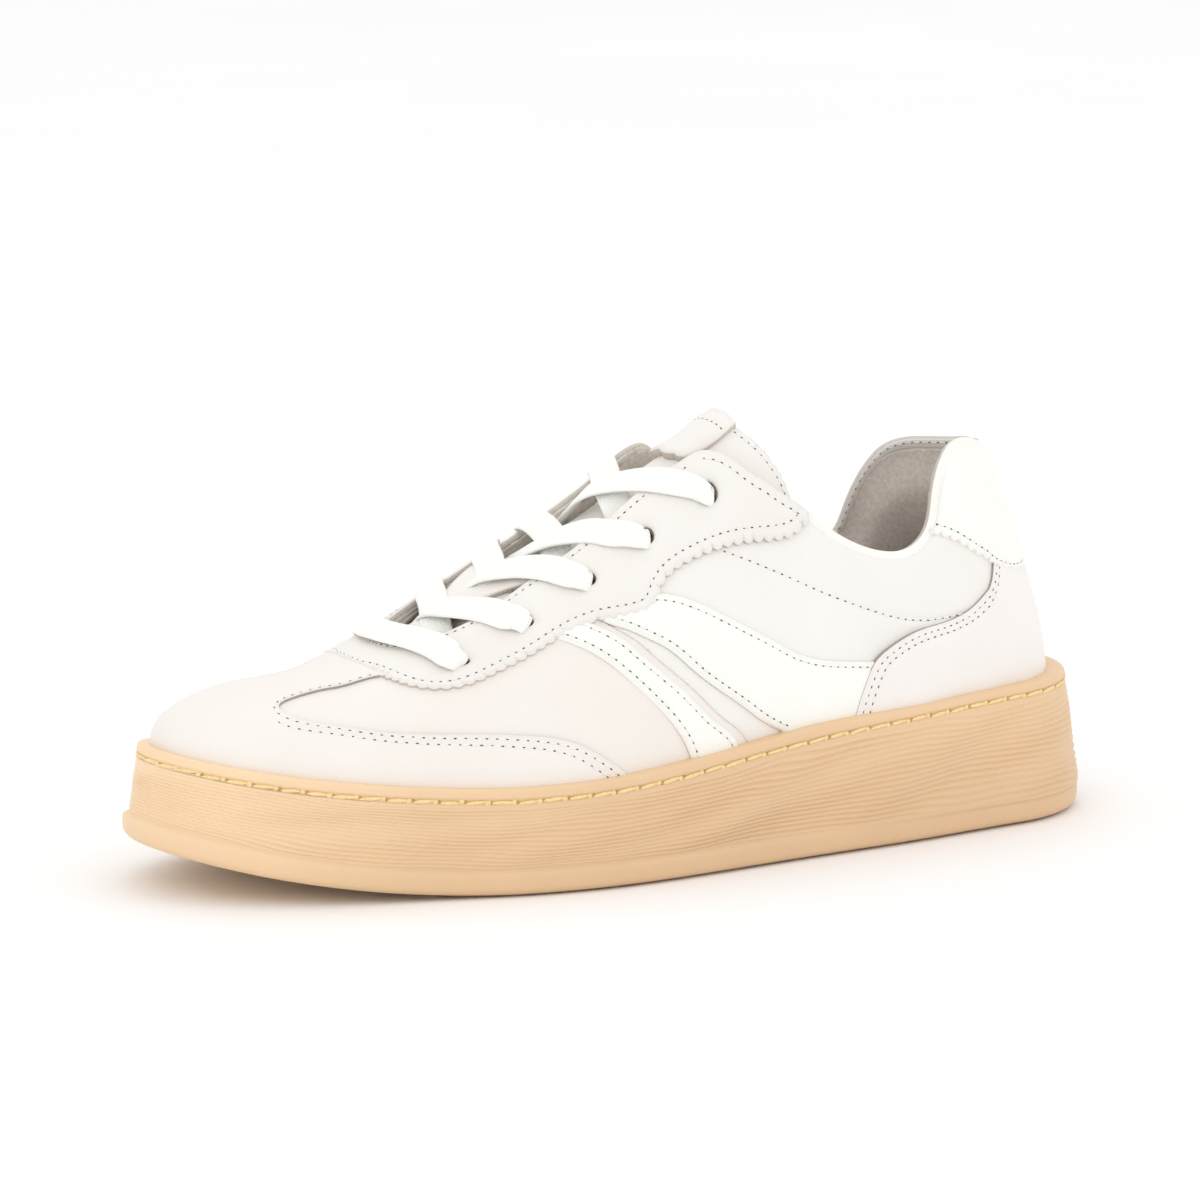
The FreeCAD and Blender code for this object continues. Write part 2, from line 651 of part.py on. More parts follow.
if __name__ == "__main__":
    os.makedirs("parts", exist_ok=True)
    parts = {}
    for build in (build_sole, build_upper, build_linings, build_tongue):
        parts.update(build())
    punch_eyelets(parts)
    parts["lace"] = build_lace()
    for name, shape in parts.items():
        shape.exportStep("parts/" + name + ".step")
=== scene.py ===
"""Court shoe: leather upper, lace, linings and gum cupsole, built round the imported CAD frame.

Lengths in this script are millimetres in the shoe's own coordinates: f runs forward from the back of
the heel, o outward from the centre line and z up.  to_frame() turns them into the frame's metres.
"""
import math

import bpy
import numpy as np
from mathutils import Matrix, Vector
from mathutils.geometry import delaunay_2d_cdt


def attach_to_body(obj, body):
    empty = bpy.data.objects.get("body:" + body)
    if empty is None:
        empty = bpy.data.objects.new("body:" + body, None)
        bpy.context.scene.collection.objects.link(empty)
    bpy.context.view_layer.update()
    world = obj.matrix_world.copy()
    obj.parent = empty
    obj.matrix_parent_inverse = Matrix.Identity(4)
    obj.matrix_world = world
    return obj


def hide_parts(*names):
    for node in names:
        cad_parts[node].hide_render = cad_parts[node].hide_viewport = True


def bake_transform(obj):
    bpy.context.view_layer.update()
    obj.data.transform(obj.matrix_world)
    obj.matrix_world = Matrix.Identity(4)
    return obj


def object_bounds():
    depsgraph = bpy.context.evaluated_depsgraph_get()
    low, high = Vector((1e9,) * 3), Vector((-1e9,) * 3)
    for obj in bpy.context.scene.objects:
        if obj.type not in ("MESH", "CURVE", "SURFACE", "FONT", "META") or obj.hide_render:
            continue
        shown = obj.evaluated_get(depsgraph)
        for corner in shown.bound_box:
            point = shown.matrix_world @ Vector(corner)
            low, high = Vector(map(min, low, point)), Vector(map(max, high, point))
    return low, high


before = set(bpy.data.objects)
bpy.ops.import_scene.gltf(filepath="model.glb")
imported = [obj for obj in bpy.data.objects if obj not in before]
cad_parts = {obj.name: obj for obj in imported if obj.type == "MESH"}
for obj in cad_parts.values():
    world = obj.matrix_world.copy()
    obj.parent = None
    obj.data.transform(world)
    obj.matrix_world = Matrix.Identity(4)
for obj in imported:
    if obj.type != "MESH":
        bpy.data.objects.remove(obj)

CAD_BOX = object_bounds()

# ---- the frame's length sets the scale of everything below ----
LENGTH = 275.0                 # outsole, heel to toe
MM = (CAD_BOX[1].y - CAD_BOX[0].y) / LENGTH
TOE_TIP_Y = CAD_BOX[0].y
CENTRE_SHIFT = 0.2             # the frame is centred on the sole's box, not on the shoe's centre line

rng = np.random.default_rng(7)


# ---------------------------------------------------------------- curves
class Curve:
    """Natural cubic curve through (position, value) pairs, evaluated on arrays."""

    def __init__(self, *points):
        points = np.array(points, float)
        self.x, self.y = points[:, 0], points[:, 1]
        gap = np.diff(self.x)
        slope = np.diff(self.y) / gap
        n = len(self.x)
        system, right = np.eye(n), np.zeros(n)
        for i in range(1, n - 1):
            system[i, i - 1], system[i, i], system[i, i + 1] = gap[i - 1], 2 * (gap[i - 1] + gap[i]), gap[i]
            right[i] = 6 * (slope[i] - slope[i - 1])
        self.bend = np.linalg.solve(system, right)

    def __call__(self, x):
        x = np.clip(x, self.x[0], self.x[-1])
        i = np.clip(np.searchsorted(self.x, x, side="right") - 1, 0, len(self.x) - 2)
        h = self.x[i + 1] - self.x[i]
        p = (self.x[i + 1] - x) / h
        q = 1 - p
        curved = (p ** 3 - p) * self.bend[i] + (q ** 3 - q) * self.bend[i + 1]
        return p * self.y[i] + q * self.y[i + 1] + curved * h * h / 6


def run_of(points):
    """Distance run along a polyline, at each of its points."""
    return np.concatenate([[0], np.cumsum(np.linalg.norm(np.diff(points, axis=0), axis=1))])


def smooth(*points, step=0.8):
    """Dense smooth polyline through a few points."""
    points = np.array(points, float)
    run = run_of(points)
    s = np.linspace(0, run[-1], max(int(run[-1] / step), 2) + 1)
    columns = [Curve(*zip(run, points[:, k]))(s) for k in range(points.shape[1])]
    return np.stack(columns, 1)


def resample(line, step):
    run = run_of(line)
    s = np.linspace(0, run[-1], max(int(round(run[-1] / step)), 1) + 1)
    return np.stack([np.interp(s, run, line[:, k]) for k in range(line.shape[1])], 1)


def mirrored(line):
    return line * np.array([1.0, -1.0])


def both_sides(line):
    """A line that starts on the centre line, run from its far end over the centre to the other side."""
    return np.concatenate([line[::-1], mirrored(line)[1:]])


def side_normals(line):
    along = np.gradient(line, axis=0)
    along /= np.maximum(np.linalg.norm(along, axis=1, keepdims=True), 1e-9)
    return np.stack([-along[:, 1], along[:, 0]], 1)


def moved(line, distance):
    """The line moved sideways, to the left of its direction of travel."""
    return line + side_normals(line) * distance


def cut_between(line, start, end):
    """The stretch of a line between two shares of its length."""
    run = run_of(line)
    keep = (run >= start * run[-1]) & (run <= end * run[-1])
    return line[keep]


def smoothstep(x):
    x = np.clip(x, 0, 1)
    return x * x * (3 - 2 * x)


# ---------------------------------------------------------------- the sole's outline, and the last
SPRING_START, TOE_SPRING = 190.0, 12.6
SOLE_HEIGHT = Curve((0, 38.7), (30, 38.2), (100, 33.9), (170, 27.1), (220, 27.1), (275, 25.3))
LATERAL_HALF = Curve((0, 35.5), (30, 37.3), (70, 43), (110, 47), (150, 51.5), (170, 52),
                     (190, 49.5), (218, 42.5), (246, 39.5), (275, 39.5))
MEDIAL_HALF = Curve((0, 35), (30, 34.2), (70, 33), (110, 36.5), (150, 44), (190, 51),
                    (222, 48), (252, 45), (275, 46))
SWING_START, TOE_SWING = 150.0, 5.0
HEEL_ROUND, TOE_ROUND = 34.0, 60.0
UPPER_INSET = 8.6
INSTEP = Curve((-10, 92), (30, 91), (60, 89), (90, 85.5), (105, 80.6), (122, 74), (142, 64.5),
               (160, 55.5), (177, 46.3), (195, 36), (208, 29.5), (217, 25.5), (226, 22),
               (237, 19.8), (248, 19), (259, 17.4), (272, 17))
INSTEP_TIP, TOE_DROP = 268.0, 40.0
FLANK = Curve((0, 1.6), (60, 1.5), (120, 1.25), (180, 1.5), (220, 2.0), (275, 2.2))
CROWN = Curve((0, 0.5), (60, 0.5), (120, 0.42), (180, 0.45), (220, 0.5), (275, 0.5))
SPINE_HEEL, SPINE_TOE, SPINE_HEIGHT = 40.0, 215.0, 8.0
CHART_RADIUS = 50.0
FAN = 70.0                     # perimeter coordinate spent on a quarter turn round heel or toe
HEEL_CENTRE = 2 * FAN + SPINE_TOE - SPINE_HEEL
LONGEST_RAY = 170.0            # from the spine to beyond the last, where the search for it starts
HALVINGS = 32                  # of that search
WAIST_DROP, WAIST_END, WAIST_FADE = 3.4, 175.0, 40.0


def underside(f):
    return np.where(f > SPRING_START, TOE_SPRING * ((f - SPRING_START) / (LENGTH - SPRING_START)) ** 2, 0.0)


def feather(f):
    f = np.clip(f, 0, LENGTH)
    return underside(f) + SOLE_HEIGHT(f)


def centre(f):
    return np.where(f > SWING_START, -TOE_SWING * ((f - SWING_START) / (LENGTH - SWING_START)) ** 2, 0.0)


def rounded(t):
    return np.sqrt(np.maximum(1 - (1 - np.clip(t, 0, 1)) ** 2, 0))


def half_width(f, side, inset, back=None):
    """Half width of the sole's outline at an inset, or of one that starts further forward."""
    back = inset if back is None else back
    full = np.where(side > 0, LATERAL_HALF(f), MEDIAL_HALF(f)) - inset
    toe = rounded((LENGTH - inset - f) / (TOE_ROUND - inset))
    return full * rounded((f - back) / (HEEL_ROUND - inset)) * toe


def heel_back(w):
    """Back of the heel at a height above the feather line: it leans forward and curves."""
    return 9.3 + 0.14 * w + 0.002 * w * w


def inside_last(f, o, z):
    """Whether points are inside the last."""
    w = z - feather(f)
    height = np.maximum(w, 0)
    back = heel_back(height)
    ridge = np.maximum(INSTEP(f) * rounded((INSTEP_TIP - f) / TOE_DROP), 1e-6)
    across = o - centre(f)
    q = np.clip(height / ridge, 0, 1)
    narrowing = np.maximum(1 - q ** FLANK(f), 0) ** CROWN(f)
    wide = half_width(f, np.where(across >= 0, 1, -1), UPPER_INSET, back) * narrowing
    return (f > back) & (f < INSTEP_TIP) & (w < ridge) & (np.abs(across) < wide)


def last_points(chart):
    """Points (f, o, z) on the last for chart points (a, b)."""
    a, b = chart[:, 0], chart[:, 1]
    s = np.clip(a, SPINE_HEEL, SPINE_TOE)
    r = np.maximum(np.hypot(a - s, b), 1e-9)
    angle = r / CHART_RADIUS
    step = np.stack([(a - s) / r * np.sin(angle), b / r * np.sin(angle), np.cos(angle)], 1)
    origin = np.stack([s, centre(s), feather(s) + SPINE_HEIGHT], 1)
    near, far = np.zeros(len(a)), np.full(len(a), LONGEST_RAY)
    for _ in range(HALVINGS):
        middle = (near + far) / 2
        p = origin + step * middle[:, None]
        hit = inside_last(p[:, 0], p[:, 1], p[:, 2])
        near, far = np.where(hit, middle, near), np.where(hit, far, middle)
    return origin + step * near[:, None]


def last_frame(chart, h=0.7):
    """Points and outward unit normals on the last."""
    points = last_points(chart)
    across = last_points(chart + [0, h]) - last_points(chart - [0, h])
    along = last_points(chart + [h, 0]) - last_points(chart - [h, 0])
    normals = np.cross(along, across)
    return points, normals / np.maximum(np.linalg.norm(normals, axis=1, keepdims=True), 1e-9)


def to_frame(p):
    """Shoe millimetres to the frame's metres."""
    return np.stack([(p[:, 1] - CENTRE_SHIFT) * MM, TOE_TIP_Y + (LENGTH - p[:, 0]) * MM, p[:, 2] * MM], 1)


def wall_line(start, end, w=-3.5, step=1.2):
    """Chart line along the lower edge of the upper, between two perimeter coordinates.

    It goes lower in the waist, where the inner side is the narrower one and its mirror image
    would otherwise end above the lip.
    """
    u = np.linspace(start, end, max(int(abs(end - start) / step), 2) + 1)
    u = np.where(u > HEEL_CENTRE, u - 2 * HEEL_CENTRE, u)
    side, t = np.where(u >= 0, 1.0, -1.0), np.abs(u)
    straight = SPINE_TOE - SPINE_HEEL
    toe = np.pi / 2 * np.clip(t / FAN, 0, 1)
    heel = np.pi / 2 * np.clip((t - FAN - straight) / FAN, 0, 1)
    s = np.clip(SPINE_TOE - (t - FAN), SPINE_HEEL, SPINE_TOE)
    along = np.where(t < FAN, np.cos(toe), -np.sin(heel))
    across = side * np.where(t < FAN, np.sin(toe), np.cos(heel))
    near, far = np.zeros(len(u)), np.full(len(u), 90.0)
    for _ in range(28):
        middle = (near + far) / 2
        f, o = s + along * middle, centre(s) + across * middle
        hit = inside_last(f, o, feather(f) - 1.0)
        near, far = np.where(hit, middle, near), np.where(hit, far, middle)
    w = w - WAIST_DROP * smoothstep((WAIST_END - s) / WAIST_FADE)
    drop = feather(s) + SPINE_HEIGHT - (feather(s + along * near) + w)
    r = CHART_RADIUS * (np.pi / 2 + np.arctan2(drop, near))
    return np.stack([s + along * r, across * r], 1)


def perimeter(a):
    """Perimeter coordinate beside a point of the straight spine."""
    return FAN + SPINE_TOE - a


# ---------------------------------------------------------------- meshes
def new_object(name, vertices, faces, material, uv=None, extra=(), face_material=None,
               is_smooth=True):
    mesh = bpy.data.meshes.new(name)
    mesh.from_pydata(vertices.tolist(), [], faces)
    for m in (material, *extra):
        mesh.materials.append(m)
    if face_material is not None:
        mesh.polygons.foreach_set("material_index", np.asarray(face_material, np.int32))
    if uv is not None:
        layer = mesh.uv_layers.new(name="map")
        loops = np.zeros(len(mesh.loops), np.int32)
        mesh.loops.foreach_get("vertex_index", loops)
        layer.data.foreach_set("uv", uv[loops].astype(np.float32).ravel())
    mesh.polygons.foreach_set("use_smooth", [is_smooth] * len(mesh.polygons))
    mesh.update()
    mesh.validate()
    thing = bpy.data.objects.new(name, mesh)
    bpy.context.scene.collection.objects.link(thing)
    return thing


def distance_to(points, line, closed=False):
    """Distance from each point to a polyline."""
    ends = np.roll(line, -1, axis=0) if closed else line[1:]
    starts = line if closed else line[:-1]
    best = np.full(len(points), 1e9)
    for first in range(0, len(starts), 64):
        s, e = starts[first:first + 64], ends[first:first + 64]
        d = e - s
        t = np.einsum("ijk,jk->ij", points[:, None] - s, d) / np.maximum((d * d).sum(1), 1e-12)
        gap = points[:, None] - (s + np.clip(t, 0, 1)[..., None] * d)
        best = np.minimum(best, np.sqrt((gap ** 2).sum(2)).min(1))
    return best


def in_polygon(points, polygon):
    """Even-odd test of each point."""
    x, y = points[:, 0], points[:, 1]
    inside = np.zeros(len(points), bool)
    ends = np.roll(polygon, -1, axis=0)
    for (x0, y0), (x1, y1) in zip(polygon, ends):
        if y0 == y1:
            continue
        crosses = ((y0 > y) != (y1 > y)) & (x < (x1 - x0) * (y - y0) / (y1 - y0) + x0)
        inside ^= crosses
    return inside


def tidy_outline(outline, step):
    """Closed outline at an even spacing, without repeated points."""
    outline = np.concatenate([outline, outline[:1]])
    run = run_of(outline)
    keep = np.concatenate([[True], np.diff(run) > 1e-6])
    return resample(outline[keep], step)[:-1]


ROW_SPACING = 0.87              # of a triangular grid, as a share of its pitch
GRID_CLEARANCE = 0.45
BESIDE_STITCHES = (-0.9, -0.35, 0.0, 0.35, 0.9)
STITCH_LINE_CLEARANCE = 0.5
RIM_CLEARANCE = 0.93
CELL = 0.42                    # two points never share a cell of this size, or touching cells
MERGE_DISTANCE = 1e-4


def triangulate(outline, holes, insets, grid, lines):
    """Points and triangles that fill an outline less its holes, denser along edges and lines."""
    loops = [outline] + holes
    low, high = outline.min(0), outline.max(0)
    xs, ys = np.arange(low[0], high[0], grid), np.arange(low[1], high[1], grid * ROW_SPACING)
    gx, gy = np.meshgrid(xs, ys)
    gx = gx + (np.arange(len(ys)) % 2)[:, None] * grid / 2
    groups = [(np.stack([gx.ravel(), gy.ravel()], 1), grid * GRID_CLEARANCE)]
    for line in lines:
        groups += [(moved(line, offset), STITCH_LINE_CLEARANCE) for offset in BESIDE_STITCHES]
    for loop in loops:
        closed = np.concatenate([loop[-1:], loop, loop[:1]])
        for inset in insets:
            for sign in (1, -1):
                groups.append((moved(closed, sign * inset)[1:-1], inset * RIM_CLEARANCE))
    kept = np.zeros((0, 2))
    for group, clearance in reversed(groups):
        ok = in_polygon(group, outline)
        for hole in holes:
            ok &= ~in_polygon(group, hole)
        group = group[ok]
        for loop in loops:
            group = group[distance_to(group, loop, closed=True) > clearance]
        kept = spaced(kept, group) if len(kept) else group
    edges = []
    vertices = [kept]
    total = len(kept)
    for loop in loops:
        index = np.arange(total, total + len(loop))
        edges += list(zip(index.tolist(), np.roll(index, -1).tolist()))
        vertices.append(loop)
        total += len(loop)
    points = np.concatenate(vertices)
    result = delaunay_2d_cdt([Vector(p) for p in points], edges, [], 0, MERGE_DISTANCE)
    corners = np.array([tuple(v) for v in result[0]])
    triangles = np.array([f for f in result[2] if len(f) == 3])
    middles = corners[triangles].mean(1)
    ok = in_polygon(middles, outline)
    for hole in holes:
        ok &= ~in_polygon(middles, hole)
    return corners, triangles[ok]


def spaced(kept, group):
    """Adds the points of a group that stay clear of the points kept so far."""
    taken = set(map(tuple, np.floor(kept / CELL).astype(int)))
    fresh = []
    for p, key in zip(group, np.floor(group / CELL).astype(int)):
        key = tuple(key)
        if all((key[0] + i, key[1] + j) not in taken for i in (-1, 0, 1) for j in (-1, 0, 1)):
            taken.add(key)
            fresh.append(p)
    return np.concatenate([kept, np.array(fresh)]) if fresh else kept


def boundary_pairs(triangles):
    """Directed edges that only one triangle has."""
    edges = np.concatenate([triangles[:, [0, 1]], triangles[:, [1, 2]], triangles[:, [2, 0]]])
    forward = {tuple(e) for e in edges.tolist()}
    return [e for e in map(tuple, edges.tolist()) if (e[1], e[0]) not in forward]


# ---------------------------------------------------------------- edges of the shoe's opening
THROAT = smooth((206, 0), (205, 12), (200, 22), (189, 24.5), (176, 20.5), (157, 16), (138, 11.3),
                (123, 9.9))[::-1]
COLLAR = smooth((24.5, 0), (26.5, 7), (31.5, 12.6), (40.5, 16.7), (47, 19.0), (51, 21.8), (53.9, 26),
                (56.3, 31.7), (60.8, 36.8), (67, 39.4), (74.3, 39.1), (82, 36.6), (89, 32.8), (96, 27.5))
FACING_TOP = smooth((95.9, 26.6), (98.7, 24.4), (103, 21.9), (106.2, 19.6), (109.5, 17.5), (112.3, 15),
                    (115, 12.7), (117.9, 10.9), (120.5, 10), (123, 9.9))


# ---------------------------------------------------------------- how the layers stand off the last
LIFT_WIDTH = 14.0
LATERAL_LIFT = 0.7
HEEL_DRAW = 2.3
FLAP_CLOSING, COLLAR_CLOSING = 1.9, 2.7


def gap_to(chart, line):
    """Distance to a line of the lateral side or to its mirror image, whichever is nearer."""
    return np.minimum(distance_to(chart, line), distance_to(chart, mirrored(line)))


def upper_lift(chart):
    """Height added to the outer layers: facings stand up beside the throat, the heel is drawn in."""
    a, b = chart.T
    medial = 0.6 + 0.7 * smoothstep((165 - a) / 30) + 2.6 * smoothstep((140 - a) / 16)
    lift = np.where(b < 0, medial, LATERAL_LIFT)
    lift = lift * smoothstep(1 - gap_to(chart, THROAT) / LIFT_WIDTH) * smoothstep((206 - a) / 16)
    down = np.hypot(np.minimum(a - SPINE_HEEL, 0), b)
    drawn = HEEL_DRAW * smoothstep((52 - a) / 28) * (1 - 0.55 * smoothstep((down - 35) / 45))
    return lift - drawn


def lining_lift(chart):
    """The linings follow the outer layers and close up to them at the edges of the shoe's opening."""
    flap = FLAP_CLOSING * smoothstep(1 - np.minimum(gap_to(chart, THROAT), gap_to(chart, FACING_TOP)) / 8)
    collar = COLLAR_CLOSING * smoothstep(1 - gap_to(chart, COLLAR) / 9)
    return upper_lift(chart) + np.maximum(flap, collar)


# ---------------------------------------------------------------- sheets and stitches
STITCH_DEPTH = 0.3              # the leather is drawn down by this much along a row of stitches
STITCH_VALLEY = 0.7             # half width of that furrow
HOLE_STEP = 0.45
RIM_SHARES = (0.18, 0.5, 1.0)   # rows of points round a rim, as shares of its roundness
CHART_UV = 100                  # chart millimetres to a UV unit


def sheet(name, outline, layer, material, edge=None, holes=(), rows=(), roundness=0.8, puff=0.0,
          puff_width=6.0, grid=2.2, step=0.8, relief=None, lift=upper_lift, inward=False,
          sink=STITCH_DEPTH):
    """Sheet over a chart outline, between two offsets, with a rounded and sewn visible face.

    Its visible face is the outer one, or the inner one if it is a lining (inward).
    """
    low, high = layer
    outline = tidy_outline(outline, step)
    holes = [tidy_outline(hole, HOLE_STEP) for hole in holes]
    loops = [outline] + holes
    lines = [row[0] for row in rows]
    roundness = min(roundness, 0.9 * (high - low))

    def surface(chart):
        rim = np.minimum.reduce([distance_to(chart, loop, closed=True) for loop in loops])
        rise = puff * rounded(rim / puff_width) - roundness * (1 - rounded(rim / roundness))
        for line in lines:
            rise -= sink * np.exp(-(distance_to(chart, line) / STITCH_VALLEY) ** 2)
        if relief is not None:
            rise += relief(chart)
        return low - rise if inward else high + rise

    insets = [roundness * share for share in RIM_SHARES]
    chart, triangles = triangulate(outline, holes, insets, grid, lines)
    flat = chart[triangles]
    turn = ((flat[:, 1, 0] - flat[:, 0, 0]) * (flat[:, 2, 1] - flat[:, 0, 1])
            - (flat[:, 1, 1] - flat[:, 0, 1]) * (flat[:, 2, 0] - flat[:, 0, 0]))
    triangles = np.where((turn < 0)[:, None], triangles, triangles[:, ::-1])
    raised = lift(chart) if lift else np.zeros(len(chart))
    points, normals = last_frame(chart)
    shown = to_frame(points + normals * (surface(chart) + raised)[:, None])
    plain = to_frame(points + normals * ((high if inward else low) + raised)[:, None])
    count = len(chart)
    if inward:
        triangles = triangles[:, ::-1]
    rims = boundary_pairs(triangles)
    sides = [(b, a, a + count, b + count) for a, b in rims]
    faces = [tuple(t) for t in triangles.tolist()] + sides
    faces += [tuple(i + count for i in reversed(t)) for t in triangles.tolist()]
    index = [0] * len(triangles) + [1] * len(sides) + [0] * len(triangles)
    uv = np.concatenate([chart, chart]) / CHART_UV
    thing = new_object(name, np.concatenate([shown, plain]), faces, material, uv,
                       extra=(edge or material,), face_material=index)
    if not rows:
        return [thing]
    return [thing, sew(name + "_thread", rows, surface, lift, inward)]


def ball(around, rings):
    """Vertices and faces of a unit sphere with few faces."""
    angles = np.linspace(0, 2 * np.pi, around, endpoint=False)
    vertices = [(-1.0, 0.0, 0.0)]
    for k in range(1, rings):
        x, r = -np.cos(np.pi * k / rings), np.sin(np.pi * k / rings)
        vertices += [(x, r * np.cos(t), r * np.sin(t)) for t in angles]
    vertices.append((1.0, 0.0, 0.0))
    last = len(vertices) - 1
    faces = [(0, 1 + (j + 1) % around, 1 + j) for j in range(around)]
    for k in range(rings - 2):
        first = 1 + k * around
        faces += [(first + j, first + (j + 1) % around, first + around + (j + 1) % around,
                   first + around + j) for j in range(around)]
    first = 1 + (rings - 2) * around
    faces += [(first + j, first + (j + 1) % around, last) for j in range(around)]
    return np.array(vertices), faces


def balls(centres, axes, halves, shape):
    """Stretched balls at many places: axes and half lengths are given along, across and out."""
    vertices, faces = shape
    reach = vertices[None] * halves[:, None, :]
    placed = centres[:, None] + np.einsum("nij,nki->nkj", axes, reach)
    count = len(vertices)
    all_faces = [tuple(i + n * count for i in face) for n in range(len(centres)) for face in faces]
    return placed.reshape(-1, 3), all_faces


def along_line(points, normals, stations, reach=0.4):
    """Places and axes (along, across, out) at distances run along a line in space."""
    run = run_of(points)

    def at(values, where):
        return np.stack([np.interp(where, run, values[:, k]) for k in range(3)], 1)

    place, out = at(points, stations), at(normals, stations)
    along = at(points, stations + reach) - at(points, stations - reach)
    along /= np.maximum(np.linalg.norm(along, axis=1, keepdims=True), 1e-9)
    out -= (out * along).sum(1, keepdims=True) * along
    out /= np.linalg.norm(out, axis=1, keepdims=True)
    return place, np.stack([along, np.cross(out, along), out], 1)


def stitched(points, normals, kinds, wander=0.0, twist=0.0):
    """Balls along a line in space, of several kinds: (stations, half lengths, rise, tilt, shape,
    material).  Wander and twist are how far they stray aside and how far they turn at random.
    """
    parts = []
    for stations, halves, rise, tilt, shape, slot in kinds:
        place, axes = along_line(points, normals, stations)
        place = place + axes[:, 2] * rise
        if wander:
            place = place + axes[:, 1] * rng.normal(0, wander, (len(place), 1))
            angle = tilt + rng.normal(0, twist, len(place))
            turn, lean = np.cos(angle)[:, None], np.sin(angle)[:, None]
            along, across = axes[:, 0].copy(), axes[:, 1].copy()
            axes[:, 0] = along * turn + across * lean
            axes[:, 1] = across * turn - along * lean
        size = np.array(halves) * rng.uniform(0.88, 1.1, (len(place), 3))
        parts.append((*balls(place, axes, size, shape), slot))
    return parts


def thread_object(name, parts, thread, hole):
    """One object from the parts of stitched(), with the thread's material and the dark material of the
    holes, which is painted shade.
    """
    faces, index, total = [], [], 0
    for v, f, slot in parts:
        faces += [tuple(i + total for i in face) for face in f]
        index += [slot] * len(f)
        total += len(v)
    vertices = to_frame(np.concatenate([part[0] for part in parts]))
    return new_object(name, vertices, faces, thread, extra=(hole,), face_material=index)


def sew(name, rows, surface, lift=upper_lift, inward=False):
    """Sunk stitches with a needle hole between each and the next, along chart lines: each hole is a dark
    ball of painted shade.
    """
    parts = []
    for line, pitch in rows:
        chart = resample(line, 0.5)
        points, normals = last_frame(chart)
        height = surface(chart) + (lift(chart) if lift else 0)
        points = points + normals * height[:, None]
        if inward:
            normals = -normals
        length = run_of(points)[-1]
        count = max(int(round(length / pitch)), 1)
        gap = length / count
        middles = (np.arange(count) + 0.5) * gap
        ends = np.arange(count + 1) * gap
        parts += stitched(points, normals, ((middles, (0.37 * gap, 0.27, 0.24), 0.08, 0, STITCH_BALL, 0),
                                            (ends, (0.45, 0.24, 0.16), 0.03, 0, HOLE_SHADE_BALL, 1)))
    return thread_object(name, parts, UPPER_THREAD, NEEDLE_HOLE_SHADE)


STITCH_BALL = ball(7, 5)
HOLE_SHADE_BALL = ball(6, 3)


def ring_faces(rings, count):
    """Faces between neighbouring rings of equal length."""
    return [(k * count + j, k * count + (j + 1) % count, (k + 1) * count + (j + 1) % count,
             (k + 1) * count + j) for k in range(rings - 1) for j in range(count)]


LACE_UV = 10                    # the ribbon's millimetres to a UV unit


def sweep(points, sides, ups, half_widths, half_heights, power=2.0, around=16):
    """Tube along a line in space, with a rounded-rectangle section that may change on the way."""
    angles = np.linspace(0, 2 * np.pi, around, endpoint=False)
    c, s = np.cos(angles), np.sin(angles)
    x = np.sign(c) * np.abs(c) ** (2 / power)
    y = np.sign(s) * np.abs(s) ** (2 / power)
    rings = (points[:, None] + sides[:, None] * (half_widths[:, None] * x)[..., None]
             + ups[:, None] * (half_heights[:, None] * y)[..., None])
    count = len(points)
    vertices = rings.reshape(-1, 3)
    faces = ring_faces(count, around)
    faces.append(tuple(reversed(range(around))))
    faces.append(tuple(range((count - 1) * around, count * around)))
    run = run_of(points)
    uv = np.stack([np.repeat(run, around), (half_widths[:, None] * x).ravel()], 1) / LACE_UV
    return vertices, faces, uv


def merged(name, pieces, material):
    """One object from several (vertices, faces, uv) pieces given in shoe millimetres."""
    faces, total = [], 0
    for v, f, _ in pieces:
        faces += [tuple(i + total for i in face) for face in f]
        total += len(v)
    vertices = to_frame(np.concatenate([p[0] for p in pieces]))
    return new_object(name, vertices, faces, material, np.concatenate([p[2] for p in pieces]))


# ---------------------------------------------------------------- materials
def linear(colour):
    """Display colour (0..255 per channel) as a linear value."""
    c = np.array(colour, float) / 255
    return (*np.where(c <= 0.04045, c / 12.92, ((c + 0.055) / 1.055) ** 2.4).tolist(), 1.0)


